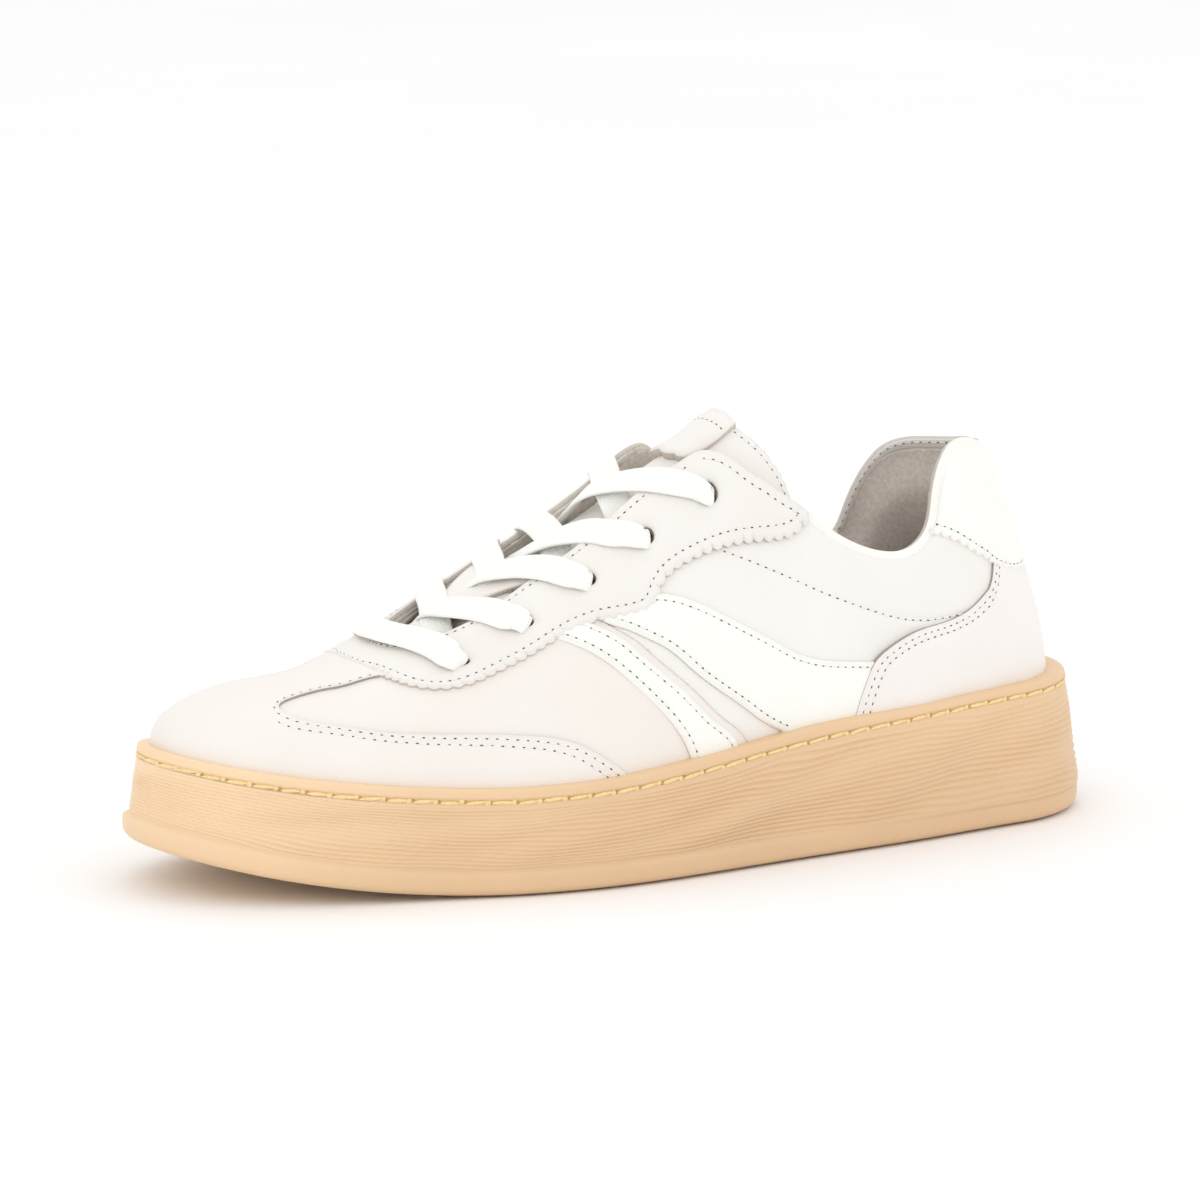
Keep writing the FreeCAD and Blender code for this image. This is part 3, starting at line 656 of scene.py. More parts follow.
class Shader:
    """A material's node tree, built one node at a time."""

    def __init__(self, name, roughness):
        self.material = bpy.data.materials.new(name)
        self.material.use_nodes = True
        self.tree = self.material.node_tree
        self.skin = self.tree.nodes["Principled BSDF"]
        self.skin.inputs["Roughness"].default_value = roughness

    def node(self, kind, **inputs):
        node = self.tree.nodes.new("ShaderNode" + kind)
        for name, value in inputs.items():
            self.feed(node, name.replace("_", " "), value)
        return node

    def feed(self, node, name, value):
        socket = node.inputs[int(name)] if name.isdigit() else node.inputs[name]
        if isinstance(value, bpy.types.NodeSocket):
            self.tree.links.new(value, socket)
        else:
            socket.default_value = value

    def coordinate(self, kind="Object"):
        return self.node("TexCoord").outputs[kind]

    def noise(self, size_mm, detail=3.0, roughness=0.5):
        return self.node("TexNoise", Vector=self.coordinate(), Scale=1000 / size_mm, Detail=detail,
                         Roughness=roughness).outputs["Fac"]

    def cells(self, size_mm):
        return self.node("TexVoronoi", Vector=self.coordinate(), Scale=1000 / size_mm).outputs["Distance"]

    def math(self, first, second, operation="ADD"):
        node = self.tree.nodes.new("ShaderNodeMath")
        node.operation = operation
        self.feed(node, "0", first)
        self.feed(node, "1", second)
        return node.outputs[0]

    def ramp(self, value, *stops):
        node = self.tree.nodes.new("ShaderNodeValToRGB")
        elements = node.color_ramp.elements
        while len(elements) < len(stops):
            elements.new(0.5)
        for element, (position, colour) in zip(elements, stops):
            element.position = position
            element.color = colour
        self.feed(node, "0", value)
        return node.outputs["Color"]

    def colour(self, value, *stops):
        """Colour by a value: stops are (position, display colour)."""
        self.feed(self.skin, "Base Color", self.ramp(value, *[(p, linear(c)) for p, c in stops]))

    def mottle(self, value, colour, shade, position=0.7):
        self.colour(value, (0.3, shade), (position, colour))

    def rough(self, value, low, high):
        node = self.node("MapRange", Value=value, To_Min=low, To_Max=high)
        self.feed(self.skin, "Roughness", node.outputs[0])

    def bump(self, height, depth_mm, strength=1.0):
        node = self.node("Bump", Height=height, Distance=depth_mm / 1000, Strength=strength)
        previous = self.skin.inputs["Normal"]
        if previous.is_linked:
            self.tree.links.new(previous.links[0].from_socket, node.inputs["Normal"])
        self.tree.links.new(node.outputs["Normal"], previous)


def leather(name, colour, shade, roughness=0.5, grain=0.05):
    s = Shader(name, roughness)
    pores = s.math(s.cells(0.75), s.noise(0.5, 2), "MULTIPLY")
    s.mottle(s.noise(34, 2), colour, shade)
    s.rough(s.noise(9, 3), roughness - 0.06, roughness + 0.08)
    s.bump(s.noise(14, 3), 0.35, 0.35)
    s.bump(pores, grain, 0.8)
    s.feed(s.skin, "Specular IOR Level", 0.4)
    return s.material


def suede(name, colour, shade):
    s = Shader(name, 0.95)
    s.mottle(s.noise(1.1, 4, 0.7), colour, shade, 0.72)
    s.bump(s.noise(0.45, 3, 0.75), 0.18)
    s.rough(s.noise(6), 0.85, 1.0)
    s.feed(s.skin, "Sheen Weight", 0.25)
    return s.material


def fibrous(name, colour, shade, roughness, patches, grain, depth_mm):
    """Fine mottle and finer bump: patches and grain are a noise's size, detail and roughness."""
    s = Shader(name, roughness)
    s.mottle(s.noise(*patches), colour, shade)
    s.bump(s.noise(*grain), depth_mm)
    return s.material


def cut_edge(name, colour, shade):
    return fibrous(name, colour, shade, 0.85, (0.5, 4, 0.7), (0.3, 3), 0.12)


def gum():
    """Translucent rubber, lighter toward the toe and the top: painted light, with the low wall near the
    floor and the heel painted darker as shade.
    """
    s = Shader("gum_rubber", 0.42)
    place = s.node("SeparateXYZ", Vector=s.coordinate())
    # Painted light and shade: the tone rises toward the toe and up the wall; the noise below adds random
    # tone.
    painted_light_toward_toe = s.node("MapRange", Value=place.outputs[1], From_Min=-0.03, From_Max=-0.12).outputs[0]
    raised = s.node("MapRange", Value=place.outputs[2], From_Min=0.003, From_Max=0.03).outputs[0]
    tone = s.math(s.math(painted_light_toward_toe, 0.35, "MULTIPLY"), s.math(raised, 0.25, "MULTIPLY"))
    tone = s.math(tone, s.math(s.noise(48, 2), 0.4, "MULTIPLY"))
    s.colour(tone, (0.2, (222, 187, 147)), (0.5, (233, 199, 158)), (0.85, (247, 215, 176)))
    s.rough(s.noise(5, 3), 0.36, 0.52)
    s.bump(s.noise(0.6, 3), 0.03, 0.6)
    s.feed(s.skin, "Subsurface Weight", 0.12)
    s.feed(s.skin, "Subsurface Radius", (0.004, 0.0022, 0.001))
    s.feed(s.skin, "Subsurface Scale", 1.0)
    return s.material


def thread_finish(name, colour, shade):
    return fibrous(name, colour, shade, 0.7, (0.7, 3), (0.25, 2), 0.06)


def woven(name, colour, shade, pitch_mm):
    """Flat braid: crossing strands drawn in the ribbon's own coordinates, which count centimetres."""
    s = Shader(name, 0.75)
    uv = s.node("SeparateXYZ", Vector=s.coordinate("UV"))
    turn = 2 * math.pi * 10 / pitch_mm
    along = s.math(uv.outputs[0], turn, "MULTIPLY")
    across = s.math(uv.outputs[1], turn, "MULTIPLY")
    one = s.math(s.math(along, across), 0.0, "SINE")
    two = s.math(s.math(along, across, "SUBTRACT"), 0.0, "SINE")
    weave = s.math(one, two, "MULTIPLY")
    shown = s.math(s.math(weave, 0.5, "MULTIPLY"), 0.5)
    # The strands' colour follows their height: the grooves between them take the darker colour, painted
    # shade; the noise adds random tone.
    s.colour(s.math(s.math(shown, 0.8, "MULTIPLY"), s.math(s.noise(0.4), 0.2, "MULTIPLY")),
             (0.1, shade), (0.6, colour))
    s.bump(shown, 0.1)
    s.bump(s.noise(0.2, 2), 0.03)
    return s.material


def foam(name, colour, shade, size_mm):
    s = Shader(name, 0.9)
    s.mottle(s.noise(size_mm * 3), colour, shade)
    s.bump(s.cells(size_mm), 0.3)
    return s.material


def board(name, colour, shade):
    return fibrous(name, colour, shade, 0.8, (2.0, 5, 0.7), (0.8, 4), 0.12)


def floor_finish():
    s = Shader("floor_finish", 0.7)
    s.mottle(s.noise(300, 2), (253, 253, 253), (250, 250, 251))
    return s.material


TOE_LEATHER = leather("toe_leather", (243, 238, 232), (240, 234, 227))
FACING_LEATHER = leather("facing_leather", (242, 238, 233), (239, 234, 228))
PANEL_LEATHER = leather("panel_leather", (245, 243, 239), (242, 239, 234))
STRIPE_LEATHER = leather("stripe_leather", (251, 251, 246), (248, 248, 242), 0.45, 0.03)
COUNTER_LEATHER = leather("counter_leather", (246, 242, 239), (243, 238, 234))
# Cut edge of most panels: the raw edge's own grey-beige, set darker to paint the shadow line under the
# raised edges.
EDGE_LEATHER_AND_SHADOW = cut_edge("edge_leather", (222, 213, 203), (196, 187, 176))
LINING = suede("lining_suede", (232, 223, 214), (200, 190, 180))
FLAP_EDGE = cut_edge("flap_edge", (204, 195, 185), (178, 168, 157))
# Darker cut edge of the toe overlay and the heel counter: the raw edge's grey, darkened to paint the shadow
# line along their edges.
EDGE_PAINTED_SHADOW = cut_edge("edge_painted_shadow", (184, 176, 166), (160, 151, 140))
BINDING = leather("binding_leather", (252, 250, 245), (249, 246, 240), 0.5, 0.03)
FOOTBED = suede("footbed_suede", (184, 174, 162), (160, 149, 137))
GUM = gum()
UPPER_THREAD = thread_finish("upper_thread", (252, 251, 247), (238, 235, 230))
SOLE_THREAD = thread_finish("sole_thread", (250, 228, 172), (240, 208, 146))
# Dark balls at the needle holes of the upper: painted shade inside the holes.
NEEDLE_HOLE_SHADE = cut_edge("needle_hole", (98, 92, 88), (72, 66, 62))
# Darker gum at the sole's needle holes: painted shade inside the holes.
GUM_HOLE_SHADE = cut_edge("sole_needle_hole", (214, 168, 104), (190, 144, 82))
INSOLE = board("insole_board", (206, 198, 182), (184, 174, 156))
STIFFENER = board("stiffener_sheet", (226, 221, 211), (206, 199, 187))
# The lace's second colour is the painted shade in the grooves of the weave.
LACE = woven("lace_cotton", (255, 255, 252), (244, 244, 236), 1.1)


# ---------------------------------------------------------------- panel outlines, lateral side
# Their points were traced on the photo and turned into chart millimetres, then edited.
PINK_PITCH = 3.0
PINK_DEPTH = 1.05


def pinked(line, outward):
    """The line cut with pinking shears: soft teeth on its outer side (outward is +1 left, -1 right)."""
    line = resample(line, 0.35)
    run = run_of(line)
    count = max(round(run[-1] / PINK_PITCH), 1)
    teeth = np.abs(np.sin(np.pi * count * run / run[-1])) ** 0.8
    return line + side_normals(line) * (outward * PINK_DEPTH * (teeth - 0.5))[:, None]


def around(half):
    """Closed outline from its lateral half, which starts and ends on the centre line."""
    return np.concatenate([half, mirrored(half)[::-1]])


FACING_OUTER = smooth((219.5, 0), (218.5, 12), (215.5, 30), (212, 44), (206, 51.5), (199, 52.8), (190, 50),
                      (179, 45.5), (168, 40.7), (160, 39.7), (149, 40.3), (145.5, 39.3), (142, 35),
                      (138, 32), (132, 30.4), (122, 29.4), (109, 30.2), (100, 29.8), (96, 27.5))
EYELETS = [(122.2, 18.2), (141.7, 21.8), (159.6, 27.0), (178.1, 33.6), (196.1, 41.8)]
SEAM_TOP = (171.0, 19.3)
WINDOW_UPPER = smooth((214.5, 36.9), (237.8, 32.6), (258.5, 26.1), (266.9, 24.3), (270.4, 25.0),
                      (271.4, 27.5))
WINDOW_LOWER = smooth((271.4, 27.5), (271, 30), (268.2, 38.4), (259.3, 50), (241.4, 63.8), (222, 70.7),
                      (209.6, 71.8), (196.8, 72.2), (188.2, 73.2), (179.4, 75), (172.1, 78.2),
                      (166.7, 82.3), (162.9, 85.6), (159.8, 89))
NARROW_FRONT = smooth((178, 37), (175, 40), (171.6, 43), (164.7, 49.4), (160, 55), (155, 62), (149.6, 70),
                      (145.3, 76.8), (142, 83.7), (139.5, 92))
NARROW_REAR = smooth((165.5, 37), (162.5, 40), (159.6, 42.8), (154.9, 47.9), (150, 55), (143.5, 63.5),
                     (137.8, 71.5), (132, 79.5), (127.9, 84), (124, 92))
VAMP_REAR = smooth((171, 19.3), (168, 28), (161, 38), (157.2, 42.6), (152, 48.2), (147.2, 55),
                   (140.6, 63.5), (134.8, 71.5), (129, 79.5), (125, 84), (121, 92))
WIDE_FRONT = smooth((161, 38), (159, 40.7), (154, 44.3), (148.7, 48.5), (143, 53.4), (137.9, 60),
                    (129.5, 70), (123, 77), (117, 83.7), (111, 88.7))
WIDE_TOP = smooth((146, 36), (142.8, 36.5), (138.3, 38.2), (130, 43.2), (120.5, 50.4), (110.6, 58.6),
                  (103.6, 64.6), (95, 69), (87, 71.3), (81.3, 72.7), (76, 74))
QUARTER_SEAM = smooth((124, 29.4), (112.6, 35.1), (103, 40.6), (93.1, 46.8), (82.3, 53), (71.5, 58.5),
                      (62.3, 61.1), (54.2, 61.2), (49, 60.6))
COUNTER_EDGE = smooth((35.5, 42.7), (37, 47.8), (41.8, 54), (47.9, 59.4), (56.7, 62.8), (66.3, 64.5),
                      (74.4, 68.1), (80.6, 72.9), (83.8, 79.3), (86.8, 86.9), (88.3, 92))
TAB_EDGE = smooth((-5, 0), (-1, 20), (8, 33), (19, 40.5), (28, 42.7), (33.8, 42.9), (38.2, 41.9),
                  (43.7, 39.4), (49.3, 36.4), (54, 34.6), (58.2, 33.6))


def circle(centre_point, radius, count=26):
    t = np.linspace(0, 2 * np.pi, count, endpoint=False)
    return np.array(centre_point) + radius * np.stack([np.cos(t), np.sin(t)], 1)


EYELET_RADIUS = 2.15
EYELET_HOLES = [circle((a, side * b), EYELET_RADIUS) for a, b in EYELETS for side in (1, -1)]


def holes_within(outline):
    return [hole for hole in EYELET_HOLES if in_polygon(hole.mean(0)[None], outline)[0]]


def attach(things, how, slot, *nodes):
    """Bakes the transform of flex and tip pieces, parents the others to the empty of their body, and hides
    the named CAD nodes.
    """
    for thing in things:
        if how == "flex":
            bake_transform(thing)
        elif how == "tip":
            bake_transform(thing)
        else:
            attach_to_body(thing, how)
    if nodes:
        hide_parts(*nodes)


def undulation(chart):
    """Slight unevenness of leather drawn over a last."""
    a, b = chart.T
    return 0.16 * (np.sin(a / 7.3 + 0.9 * np.sin(b / 11)) * np.sin(b / 9.1 + 1.3 * np.sin(a / 17)))


# ---------------------------------------------------------------- the upper
ROW_PITCH, OVERLAY_PITCH, SEAM_PITCH, LABEL_PITCH = 2.35, 2.7, 2.5, 2.2
EDGE_STEP = 1.5                # an edge is thinned to this step before a row is run beside it


def on_side(line, side):
    return line if side > 0 else mirrored(line)


def row_beside(line, aside, start=0.0, end=1.0):
    """Row of stitches to the left of a panel's edge, between two shares of its length."""
    return cut_between(moved(resample(line, EDGE_STEP), aside), start, end)


def sewn_twice(lines, pitch=ROW_PITCH):
    """Rows along lines of the lateral side and along their mirror images."""
    return [(on_side(line, side), pitch) for line in lines for side in (1, -1)]


BASE = (-1.1, 0.0)
VAMP_LAYER = (-1.1, 0.4)
OVERLAY_LAYER = (0.0, 1.45)
NARROW_LAYER = (0.1, 1.3)
WIDE_LAYER = (-0.1, 1.15)
TAB_LAYER = (-0.2, 1.15)
TAB_FRONT = 59.0               # the tab follows the collar this far forward
COUNTER_LAYER = (-0.1, 1.05)
FACING = (-0.3, 1.6)
INNER = (-3.7, -3.1)
STIFFENER_LAYER = (-2.3, -1.3)
SIDES = ((1, "lateral"), (-1, "medial"))


def build_vamp():
    throat = THROAT[THROAT[:, 0] > SEAM_TOP[0]]
    half = np.concatenate([throat, VAMP_REAR, wall_line(perimeter(121), 0)])
    outline = around(half)
    vamp = sheet("vamp_skin", outline, VAMP_LAYER, TOE_LEATHER, EDGE_LEATHER_AND_SHADOW, holes_within(outline),
                 relief=undulation, roundness=0.5)
    attach(vamp, "flex", "toe_leather", "vamp")
    half = np.concatenate([throat, [(131, 88)], wall_line(perimeter(131), 0)])
    outline = around(half)
    lining = sheet("vamp_lining_skin", outline, INNER, LINING, FLAP_EDGE, holes_within(outline),
                   grid=3.0, inward=True, roundness=0.3, lift=lining_lift)
    attach(lining, "flex", "lining_suede", "vamp_lining")


def build_toe_overlay():
    start = np.array([(214, 0), (213.6, 15), (212.2, 37.6)])
    half = np.concatenate([start, WINDOW_UPPER, WINDOW_LOWER, wall_line(perimeter(159), 0)])
    window = np.concatenate([WINDOW_UPPER, WINDOW_LOWER[1:]])
    near = cut_between(resample(row_beside(window, -1.5), 0.8), 0.02, 0.985)
    far = resample(row_beside(cut_between(WINDOW_LOWER, 0.04, 0.985), -3.7), 0.8)
    # Its edge faces take the painted shadow line.
    overlay = sheet("toe_overlay_skin", around(half), OVERLAY_LAYER, TOE_LEATHER, EDGE_PAINTED_SHADOW,
                    rows=sewn_twice((near, far), OVERLAY_PITCH), relief=undulation, roundness=0.35)
    attach(overlay, "flex", "toe_leather", "toe_overlay")


def build_quarters():
    throat = THROAT[THROAT[:, 0] < SEAM_TOP[0]]
    foot = wall_line(HEEL_CENTRE - 0.2, perimeter(121.5))
    outline = np.concatenate([throat, FACING_TOP[::-1], COLLAR[::-1], foot, VAMP_REAR[::-1]])
    for side, name in SIDES:
        shape = on_side(outline, side)
        skin = sheet("quarter_%s_skin" % name, shape, BASE, PANEL_LEATHER, EDGE_LEATHER_AND_SHADOW,
                     holes_within(shape), rows=[(on_side(QUARTER_SEAM, side), SEAM_PITCH)],
                     relief=undulation, roundness=0.5)
        attach(skin, "rearfoot", "panel_leather", "quarter_" + name)


PAD_DEPTH = 2.6
PAD_WIDTH = 34.0


def padding(chart):
    """Extra thickness of the padded band below the collar's edge."""
    gap = gap_to(chart, COLLAR)
    return PAD_DEPTH * smoothstep(gap / 7) * smoothstep((PAD_WIDTH - gap) / 22)


def build_linings():
    throat = THROAT[THROAT[:, 0] < SEAM_TOP[0]]
    foot = wall_line(HEEL_CENTRE - 0.2, perimeter(131.5))
    outline = np.concatenate([[SEAM_TOP], throat, FACING_TOP[::-1], COLLAR[::-1], foot])
    for side, name in SIDES:
        shape = on_side(outline, side)
        lining = sheet("quarter_lining_%s_skin" % name, shape, INNER, LINING, FLAP_EDGE,
                       holes_within(shape), relief=padding, inward=True, roundness=0.4, lift=lining_lift)
        nodes = ["quarter_lining_" + name]
        if side > 0:
            nodes.append("collar_foam")
        attach(lining, "rearfoot", "lining_suede", *nodes)


def build_facing():
    half = np.concatenate([pinked(FACING_OUTER, -1), FACING_TOP, THROAT])
    lines = (row_beside(FACING_OUTER, 2.7, 0.0, 0.985), row_beside(FACING_TOP, 2.0, 0.06, 0.92),
             row_beside(THROAT, 2.0, 0.02, 0.99))
    facing = sheet("eyestay_skin", around(half), FACING, FACING_LEATHER, EDGE_LEATHER_AND_SHADOW, EYELET_HOLES,
                   rows=sewn_twice([resample(line, 0.8) for line in lines]), relief=undulation,
                   roundness=0.45, puff=0.3, puff_width=3.5, step=0.5)
    attach(facing, "flex", "facing_leather", "eyestay", "eyelet_backing_lateral",
           "eyelet_backing_medial")


def build_stripes():
    for side, name in SIDES:
        outline = np.concatenate([NARROW_FRONT, NARROW_REAR[::-1]])
        rows = [(on_side(line, side), ROW_PITCH)
                for line in (row_beside(NARROW_FRONT, 1.9), row_beside(NARROW_REAR, -1.9))]
        stripe = sheet("narrow_stripe_%s_skin" % name, on_side(outline, side), NARROW_LAYER,
                       STRIPE_LEATHER, EDGE_LEATHER_AND_SHADOW, rows=rows, roundness=0.7, puff=0.2, puff_width=4)
        attach(stripe, "rearfoot", "stripe_leather", "narrow_stripe_" + name)
        foot = wall_line(perimeter(111), perimeter(82))
        outline = np.concatenate([WIDE_FRONT, foot, WIDE_TOP[::-1]])
        rows = [(on_side(line, side), ROW_PITCH)
                for line in (row_beside(WIDE_FRONT, 2.0), row_beside(WIDE_TOP, -2.0))]
        stripe = sheet("wide_stripe_%s_skin" % name, on_side(outline, side), WIDE_LAYER, STRIPE_LEATHER,
                       EDGE_LEATHER_AND_SHADOW, rows=rows, relief=undulation, roundness=0.7, puff=0.2, puff_width=5)
        attach(stripe, "rearfoot", "stripe_leather", "wide_stripe_" + name)


def build_heel():
    under_tab = cut_between(moved(TAB_EDGE, -3.0), 0.0, 0.62)
    half = np.concatenate([under_tab, COUNTER_EDGE, wall_line(perimeter(87.6), HEEL_CENTRE)])
    rows = sewn_twice([row_beside(COUNTER_EDGE, aside, 0.0, 0.98) for aside in (2.0, 4.3)])

    def over_stripe(chart):
        """The counter's front lies over the wide stripe."""
        return undulation(chart) + 0.8 * smoothstep((chart[:, 0] - 48) / 22)

    # Its edge faces take the painted shadow line.
    counter = sheet("heel_counter_skin", around(half), COUNTER_LAYER, COUNTER_LEATHER,
                    EDGE_PAINTED_SHADOW, rows=rows, roundness=0.3, puff=0.15, relief=over_stripe)
    attach(counter, "rearfoot", "counter_leather", "heel_counter_overlay")

    top = COLLAR[COLLAR[:, 0] < TAB_FRONT]
    half = np.concatenate([top, pinked(TAB_EDGE, 1)[::-1]])
    tab = sheet("heel_tab_skin", around(half), TAB_LAYER, STRIPE_LEATHER, BINDING,
                rows=sewn_twice([row_beside(TAB_EDGE, -1.9, 0.0, 0.985)]), roundness=0.4, puff=0.2,
                step=0.5)
    attach(tab, "rearfoot", "stripe_leather", "heel_tab")


ROLL_HALF = 0.4
BAND_WIDTH, BAND_ROW = 1.8, 1.15
BAND_LAYER = (INNER[0] - 0.7, INNER[1])
LINING_FACE = INNER[0] + COLLAR_CLOSING


def build_binding():
    """Rolled strip over the edge of the collar, with a stitched band inside it."""
    line = resample(both_sides(COLLAR), 1.0)
    points, normals = last_frame(line)
    high = -0.15 + 0.4 * smoothstep((60 - line[:, 0]) / 8)
    low = LINING_FACE - 0.2
    centre_line = points + normals * ((high + low) / 2 + upper_lift(line))[:, None]
    _, axes = along_line(centre_line, normals, run_of(centre_line))
    roll = sweep(centre_line, axes[:, 1], axes[:, 2], np.full(len(line), ROLL_HALF), (high - low) / 2,
                 power=2.4)
    binding = [merged("collar_binding_skin", [roll], BINDING)]
    edge = resample(COLLAR, 1.0)
    outline = np.concatenate([edge, moved(edge, -BAND_WIDTH)[::-1]])
    row = cut_between(moved(edge, -BAND_ROW), 0.01, 0.97)
    for side, name in SIDES:
        binding += sheet("collar_band_%s" % name, on_side(outline, side), BAND_LAYER, BINDING,
                         EDGE_LEATHER_AND_SHADOW, rows=[(on_side(row, side), ROW_PITCH)], relief=padding,
                         inward=True, roundness=0.3, lift=lining_lift, sink=0.0)
    attach(binding, "rearfoot", "stripe_leather", "collar_binding")


def build_stiffener():
    half = np.concatenate([smooth((18, 0), (19, 14), (24, 30), (38, 50), (56, 64), (68, 84)),
                           wall_line(perimeter(68), HEEL_CENTRE)])
    stiffener = sheet("heel_stiffener_skin", around(half), STIFFENER_LAYER, STIFFENER,
                      grid=3.5, roundness=0.3)
    attach(stiffener, "rearfoot", "stiffener_sheet", "heel_stiffener")


# ---------------------------------------------------------------- tongue and its label
TONGUE_SPLIT = 143.0
TONGUE_LAYER = (-9.2, -4.9)
LABEL_LAYER = (-4.5, -2.9)
TONGUE_TOP = smooth((108.6, 0), (107, 6.5), (103.3, 11.7), (99.6, 17), (97.6, 21.5), (97.4, 25.2))
TONGUE_SIDE = smooth((97.4, 25.2), (104, 27.4), (122, 28), (142, 31.5), (160, 33.5), (178, 33), (196, 29))
TONGUE_FOOT = smooth((196, 29), (205, 17), (209, 0))


def tongue_height(chart):
    """The tongue is padded: fullest along its middle, thin at its edges."""
    a, b = chart.T
    return (0.5 * np.cos(b / 16) - 0.1 * np.cos(a / 4.1) * np.exp(-((b - 6) / 9) ** 2)
            + 1.5 * smoothstep((122 - a) / 14))


def build_tongue():
    upper_side = TONGUE_SIDE[TONGUE_SIDE[:, 0] < TONGUE_SPLIT]
    lower_side = TONGUE_SIDE[TONGUE_SIDE[:, 0] >= TONGUE_SPLIT]
    rows = sewn_twice((row_beside(TONGUE_TOP, -2.0), row_beside(upper_side, -2.0, 0.03, 0.9)))
    half = np.concatenate([TONGUE_TOP, upper_side, [(TONGUE_SPLIT, 0)]])
    options = dict(relief=tongue_height, lift=None, roundness=1.7, puff=0.5, puff_width=9)
    upper = sheet("tongue_upper_skin", around(half), TONGUE_LAYER, FACING_LEATHER, LINING, rows=rows,
                  **options)
    attach(upper, "tip", "facing_leather", "tongue", "tongue_foam", "tongue_lining")
    overlap = TONGUE_SPLIT - 0.8
    half = np.concatenate([[(overlap, 0), (overlap, 31.0)], lower_side, TONGUE_FOOT])
    lower = sheet("tongue_lower_skin", around(half), (TONGUE_LAYER[0], TONGUE_LAYER[1] - 0.2),
                  FACING_LEATHER, LINING, **options)
    attach(lower, "flex", "facing_leather")


def build_label():
    t = np.linspace(0, 1, 80)
    wave = 0.9 * np.abs(np.cos(np.pi * 2.5 * t)) ** 0.8 + 2.6 * (1 - (2 * t - 1) ** 4)
    low_edge = np.stack([122.2 + wave, 7.6 - 15.2 * t], 1)
    right = smooth((107.6, 6.9), (114, 8.0), (122.2, 7.6))
    outline = np.concatenate([right, low_edge, mirrored(right)[::-1]])
    row = smooth((111.6, 6.4), (112.2, 0), (111.6, -6.4))

    def lip_up(chart):
        """The label's loose lower edge stands off the tongue."""
        return tongue_height(chart) + smoothstep((chart[:, 0] - 118) / 6)

    label = sheet("tongue_label_skin", outline, LABEL_LAYER, FACING_LEATHER, EDGE_LEATHER_AND_SHADOW,
                  rows=[(row, LABEL_PITCH)], lift=None, roundness=0.35, puff=0.3, puff_width=3,
                  step=0.4, relief=lip_up)
    attach(label, "tip", "facing_leather", "tongue_label")


# ---------------------------------------------------------------- lace
LACE_HALF_WIDTH = 4.3
LACE_THICK = 0.68
LACE_STEP = 0.55
LACE_POWER, LACE_ROUND = 2.6, 18   # squareness of the ribbon's section, and points round it
HEADING_STEPS = 11             # the ribbon's heading is taken over this many steps each way
RESTS_ON = 0.75                # height of the ribbon's middle above the leather it lies on
BELOW = -3.3                   # height of its ends under the facings
# Traced on the photo and turned into chart millimetres, then edited.
# Middle of the ribbon from each lateral eyelet across the throat and under the medial facing to the
# next medial eyelet: (a, b, height above the last or None where it lies on a facing, half width).
OVER_LATERAL = [
    [(122.2, 18.1, BELOW, 2.0), (122.2, 18.3, 0.6, 2.1), (123.2, 19.2, 2.8, 2.7), (125.0, 17.7, 3.2, 3.3),
     (128.0, 15.5, 3.2, 3.9), (131.8, 13.1, 3.2, 4.2), (135.2, 10.7, 3.1, 4.2), (138.7, 7.8, 2.8, 4.2),
     (141.5, 4.7, 2.4, 4.2), (144.2, 1.0, 1.9, 4.2), (146.4, -3.4, 0.2, 4.2), (148.6, -8.0, -2.0, 4.0),
     (149.5, -13.5, -3.0, 3.8), (147.5, -18.5, -3.2, 3.4), (142.0, -21.4, BELOW, 2.4)],
    [(141.7, 21.7, BELOW, 2.0), (141.7, 21.9, 0.6, 2.1), (142.7, 22.9, 2.8, 2.8), (144.4, 21.9, 3.2, 3.5),
     (146.5, 20.3, 3.2, 4.0), (149.5, 18.6, 3.1, 4.3), (152.0, 16.3, 2.9, 4.3), (154.3, 14.0, 2.5, 4.3),
     (156.7, 11.7, 1.9, 4.3), (159.2, 8.8, 1.1, 4.2), (161.8, 5.0, 0.0, 4.2), (164.4, 0.0, -1.5, 4.1),
     (166.5, -6.0, -2.7, 4.0), (167.5, -13.0, -3.1, 3.8), (166.0, -21.0, -3.2, 3.4),
     (160.0, -26.6, BELOW, 2.4)],
    [(159.6, 26.9, BELOW, 2.0), (159.6, 27.1, 0.6, 2.1), (160.4, 28.3, 2.8, 2.8), (161.8, 26.7, 3.2, 3.6),
     (163.8, 24.4, 3.2, 4.2), (165.9, 21.3, 3.2, 4.4), (168.4, 18.0, 3.1, 4.4), (171.0, 14.3, 2.8, 4.4),
     (173.6, 10.0, 2.3, 4.4), (176.0, 5.0, 1.7, 4.3), (178.2, -0.5, 0.4, 4.3), (180.0, -7.0, -1.6, 4.2),
     (181.0, -14.0, -2.9, 3.9), (180.8, -23.0, -3.2, 3.6), (178.4, -33.0, BELOW, 2.4)],
    [(178.1, 33.5, BELOW, 2.0), (178.1, 33.7, 0.6, 2.1), (178.5, 35.4, 2.8, 2.8), (179.6, 33.0, 3.2, 3.7),
     (181.4, 30.6, 3.2, 4.3), (183.2, 27.0, 3.2, 4.4), (185.5, 22.3, 3.1, 4.4), (187.7, 16.7, 2.7, 4.4),
     (189.5, 9.5, 2.2, 4.4), (190.8, 2.0, 1.7, 4.3), (191.8, -5.0, 0.3, 4.3), (192.8, -12.0, -1.7, 4.2),
     (193.6, -20.0, -2.9, 3.9), (194.8, -31.0, -3.2, 3.5), (196.0, -41.0, BELOW, 2.4)],
]
